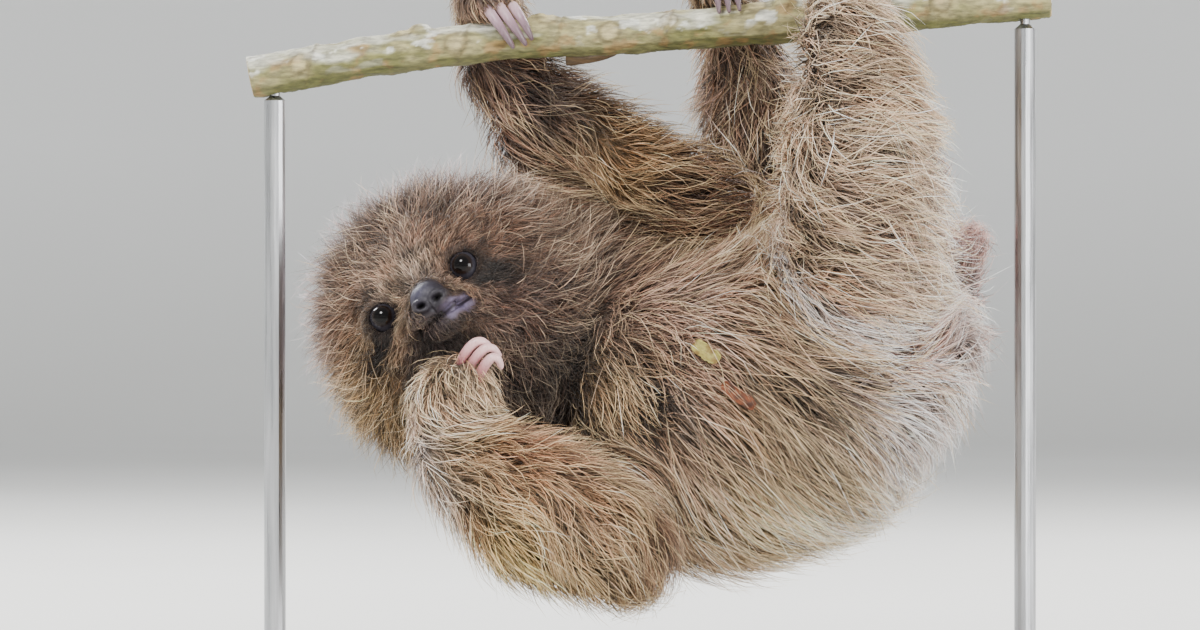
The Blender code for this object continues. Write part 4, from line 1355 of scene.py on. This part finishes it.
def spikes(lines, widths, profile, colours, places):
    """Thin closed spikes along the lines: three-sided rings that narrow to a point."""
    count, rings = len(lines), lines.shape[1] - 1
    ways = unit(np.gradient(lines, axis=1))[:, :rings]
    from_middle = lines - lines.mean(axis=1, keepdims=True)
    outward = unit(from_middle + 2 * skin_normals_at(lines))[:, :rings]
    side = unit(np.cross(ways, outward))
    up = np.cross(side, ways)
    radius = (widths[:, None] / 2 * np.array(profile))[:, :, None]
    corners = [lines[:, :rings] + (side * math.cos(turn) + up * 0.6 * math.sin(turn)) * radius
               for turn in map(math.radians, (90, 210, 330))]
    corners = np.stack(corners, axis=2).reshape(count, rings * 3, 3)
    verts = np.concatenate((corners, lines[:, rings:]), axis=1)
    last = rings * 3 - 3
    faces = [(2, 1, 0)]
    for start in range(0, last, 3):
        for corner, after in ((0, 1), (1, 2), (2, 0)):
            faces.append((start + corner, start + after, start + 3 + after, start + 3 + corner))
    faces += [(last + corner, last + (corner + 1) % 3, last + 3) for corner in range(3)]
    pattern = np.array([vertex for face in faces for vertex in face])
    ring_of = np.minimum(np.arange(rings * 3 + 1) // 3, rings)
    wide, high = TUFT_PATCH
    patch = ((pattern % 3 - 1) * wide, (ring_of[pattern] / rings - 0.5) * high)
    return {"verts": verts.reshape(-1, 3), "colours": colours[:, ring_of].reshape(-1, 3),
            "pattern": pattern, "sizes": np.array([len(face) for face in faces]),
            "count": count, "uv": (places[:, None] + np.stack(patch, axis=1)).reshape(-1, 2)}


def coat_mesh(name, groups):
    """One mesh from several groups of spikes."""
    corners, offset = [], 0
    for group in groups:
        starts = np.arange(group["count"]) * (len(group["verts"]) // group["count"]) + offset
        corners.append((group["pattern"] + starts[:, None]).ravel())
        offset += len(group["verts"])
    corners = np.concatenate(corners)
    totals = np.concatenate([np.tile(group["sizes"], group["count"]) for group in groups])
    mesh = bpy.data.meshes.new(name)
    mesh.vertices.add(offset)
    mesh.loops.add(len(corners))
    mesh.polygons.add(len(totals))
    points = np.concatenate([group["verts"] for group in groups])
    mesh.vertices.foreach_set("co", points.astype(np.float32).ravel())
    mesh.loops.foreach_set("vertex_index", corners.astype(np.int32))
    mesh.polygons.foreach_set("loop_start", (np.cumsum(totals) - totals).astype(np.int32))
    mesh.polygons.foreach_set("loop_total", totals.astype(np.int32))
    mesh.update(calc_edges=True)
    paint_points(mesh, np.concatenate([group["colours"] for group in groups]))
    uv = np.clip(np.concatenate([group["uv"] for group in groups]), 0, 1).astype(np.float32)
    mesh.uv_layers.new(name="OFBake").data.foreach_set("uv", uv.ravel())
    return mesh


def hair_finish():
    return painted("hair", (1200, 3), (0.86, 1.14), 0.8, (0.4, 0.58), (0.00006, 0.4),
                   Roughness=0.5, Sheen_Weight=0.08, Sheen_Roughness=0.4,
                   Specular_IOR_Level=0.3)[0]


def banding(roots):
    """Soft light and dark bands that run out over the trunk from the parting of its hair."""
    offset = roots - PARTING
    bearing = np.arctan2(offset[:, 2], offset[:, 0]) * 0.1
    outward = np.linalg.norm(offset, axis=1) * 0.3
    return fractal(np.stack((bearing, outward, roots[:, 1] * 0.3), axis=1), 9 * MM, 3)


def hair_tones(roots, labels, long, guard, random):
    """Colours along each tuft: a root dark partly by painted shade, the marking, a paler tip on
    guard hairs.
    """
    count = len(roots)
    base = markings(roots, labels)
    patchy = 1 + 0.5 * fractal(roots, 9 * MM, 2) + 1.1 * fractal(roots + 3, 3.2 * MM, 2)
    single = np.exp(random.normal(0, 0.3, count))
    single = single * np.where(random.random(count) < DARK_HAIRS, 0.5, 1)
    patchy += 1.3 * banding(roots) * is_part(labels, "chest", "belly", "rump")
    locks = fractal(roots * (1, 1, 1.6) + 5, 5 * MM, 2)
    patchy += locks * (0.9 * is_part(labels, "thigh", "shank") + 0.6 * is_part(labels, "head"))
    base = base * (np.clip(patchy, 0.35, 1.8) * np.where(guard, 1.2, 0.9) * single)[:, None]
    # pale crown tips, partly painted rim light on the upper left
    grey = crown_and_rim_share(roots, 24, 38, 14) * is_part(labels, "head")
    warmth = 0.07 + random.normal(0, 0.035, count) + 0.1 * fractal(roots + 8, 9 * MM, 2)
    base = base * (1 + (warmth * (1 - grey))[:, None] * np.array((1, -0.5, -1.5)))
    tips = np.array([tone(*TIP_TONES.get(part_kind(name), STRAW)) for name in FLESH])[labels]
    tips = layered(tips, (CROWN_TIP, grey))
    brightness = base.mean(axis=1, keepdims=True)
    tips = tips + (tone(*FROST) - tips) * step_between(brightness, 0.45, 0.8)
    tips = tips * (0.12 + 0.88 * step_between(brightness, 0.02, 0.24))
    share = np.where(guard, random.uniform(0.45, 0.95, count), random.beta(1.2, 2.0, count))
    if long:
        shades, paler = LONG_SHADES, np.where(guard[:, None], GUARD_PALER, LONG_PALER)
    else:
        shades, paler = UNDER_SHADES, np.tile(UNDER_PALER, (count, 1))
    rings = []
    for ring, shade in enumerate(shades):
        mixed = blend_tones(base, tips, share * paler[:, ring])
        # the painted shade at the roots is lifted on the pale coat
        lifted = shade + 0.65 * max(1 - shade, 0) * step_between(brightness, 0.32, 0.62)
        rings.append(np.minimum(mixed * lifted, PALEST))
    return np.stack(rings, axis=1)


def make_coat(name, kinds, seed, finish, where=1.0):
    """One piece of the coat, over the named parts of the body."""
    random = np.random.default_rng(seed)
    area = is_part(skin_labels, *kinds) * where
    groups = []
    for steps in (UNDER_STEPS, LONG_STEPS):
        long = steps == LONG_STEPS
        roots, index = root_places(area, random, 1.0 if long else UNDER_SHARE)
        count = len(roots)
        stray_share = STRAY_SHARE * (1 - 0.9 * skin_face[index])
        strays = (random.random(count) < stray_share) & long
        reach = random.uniform(*((0.7, 1.2) if long else (0.4, 0.65)), count)
        rise = random.uniform(*((0.55, 1.25) if long else (0.3, 0.8)), count)
        lines = grow(roots, index, random, steps, reach, rise, strays)
        if long:
            lines = gather(lines, strays, index, random)
        if "head" in kinds:
            keep = clear_of_face(lines)
            lines, roots, index, strays = (part[keep] for part in (lines, roots, index, strays))
        lines = keep_off_branch(lines.reshape(-1, 3)).reshape(lines.shape)
        widths = skin_width[index] * random.uniform(0.75, 1.25, len(roots))
        widths *= (1.0 if long else UNDER_WIDTH) * np.where(strays, 1.0, 0.92)
        widths *= np.where(skin_normals[index, 1] > 0.2, FAR_SIDE_WIDTH, 1.0)
        labels = skin_labels[index]
        colours = hair_tones(roots, labels, long, strays, random)
        charts, places = chart_places(roots, skin_normals[index], labels)
        groups.append(spikes(lines, widths, LONG_PROFILE if long else UNDER_PROFILE,
                             colours, packed_unwrap(charts, places)))
    coat = add_piece(name, coat_mesh(name, groups), finish)
    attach(coat, "root")


hair = hair_finish()
short_face = (skin_face > 0.35).astype(float)
left_half = (to_head(skin_points)[:, 0] < 0).astype(float)
COATS = (  # name, the parts it covers, seed, where on them
    ("coat_face", ("head", "muzzle"), 11, short_face),
    ("coat_head_left", ("head", "muzzle"), 12, (1 - short_face) * left_half),
    ("coat_head_right", ("head", "muzzle"), 13, (1 - short_face) * (1 - left_half)),
    ("coat_neck_and_chest", ("neck", "chest"), 14, 1.0),
    ("coat_belly", ("belly",), 15, 1.0),
    ("coat_rump_and_tail", ("rump", "tail"), 16, 1.0),
    ("coat_left_arm", ("upper_arm_left", "forearm_left", "hand_left"), 17, 1.0),
    ("coat_right_arm", ("upper_arm_right", "forearm_right", "hand_right"), 18, 1.0),
    ("coat_left_leg", ("thigh_left", "shank_left", "foot_left"), 19, 1.0),
    ("coat_right_leg", ("thigh_right", "shank_right", "foot_right"), 20, 1.0))
for name, kinds, seed, where in COATS:
    make_coat(name, kinds, seed, hair, where)


# ---- The leaf scraps -----------------------------------------------------------------------
# Two scraps of dry leaf caught in the hair of the flank: one yellow-green, one orange-brown.
# Each is a thin curled flake with a midrib and a torn edge.
SCRAPS = (  # name, place in mm, height in the coat, length, width, turn in degrees, two colours
    ("leaf_scrap_green", (18.2, 124.4), 0.84, 10.0, 5.0, -38, (152, 142, 72), (116, 92, 44)),
    ("leaf_scrap_brown", (25.4, 112.6), 0.98, 12.5, 4.2, -36, (112, 58, 28), (62, 34, 20)))
LEAF_THICKNESS = 0.25 * MM


def leaf_finish():
    return painted("dry_leaf", (900, 5), (0.7, 1.15), 0.8, (0.4, 0.65), (0.0002, 0.6),
                   Roughness=0.5)[0]


def make_scrap(name, place, depth, length, width, turn, colour, dark, finish):
    """A torn flake that lies in the coat, with its edges curled up round its midrib."""
    start = Vector((place[0], -200, place[1])) * MM
    hit, normal, index, _ = skin_tree.ray_cast(start, Vector((0, 1, 0)))
    normal = np.array(normal)
    middle = np.array(hit) + normal * (skin_height[skin_triangles[index, 0]] * depth)
    turn = math.radians(turn)
    long_way = np.array([(math.cos(turn), 0, math.sin(turn))])
    long_way = along_surface(long_way, normal[None])[0]
    short_way = np.cross(normal, long_way)
    across, along = np.meshgrid(np.linspace(-1, 1, 13), np.linspace(-1, 1, 25))
    rows, columns = along.shape
    across, along = across.ravel(), along.ravel()
    flat = np.stack((across, along, 0 * across), axis=1)
    ragged = 1 + 0.25 * fractal(flat + place[0], 0.35)
    reach = np.sqrt(np.clip(1 - 0.75 * along ** 4, 0, 1)) * ragged
    lift = (0.9 * across ** 2 + 0.8 * along ** 2 - 0.25 * bell(across, 0.12)) * MM
    points = (middle + np.outer(along * length / 2 * MM, long_way)
              + np.outer(across * reach * width / 2 * MM, short_way) + np.outer(lift, normal))
    corner = np.arange(rows * columns).reshape(rows, columns)
    faces = np.stack((corner[:-1, :-1], corner[:-1, 1:], corner[1:, 1:], corner[1:, :-1]), axis=2)
    mesh = bpy.data.meshes.new(name)
    mesh.from_pydata(points.tolist(), [], faces.reshape(-1, 4).tolist())
    thing = add_object(name + "_flat", mesh)
    thickness = thing.modifiers.new("leaf", "SOLIDIFY")
    thickness.thickness = LEAF_THICKNESS
    mesh = worked_mesh(thing, name)
    tint = step_between(fractal(vertex_array(mesh), 2.2 * MM), -0.2, 0.4)
    paint_points(mesh, layered(tone(*colour), (dark, tint)))
    scrap = add_piece(name, mesh, finish)
    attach(scrap, "root")


dry_leaf = leaf_finish()
for scrap in SCRAPS:
    make_scrap(*scrap, dry_leaf)
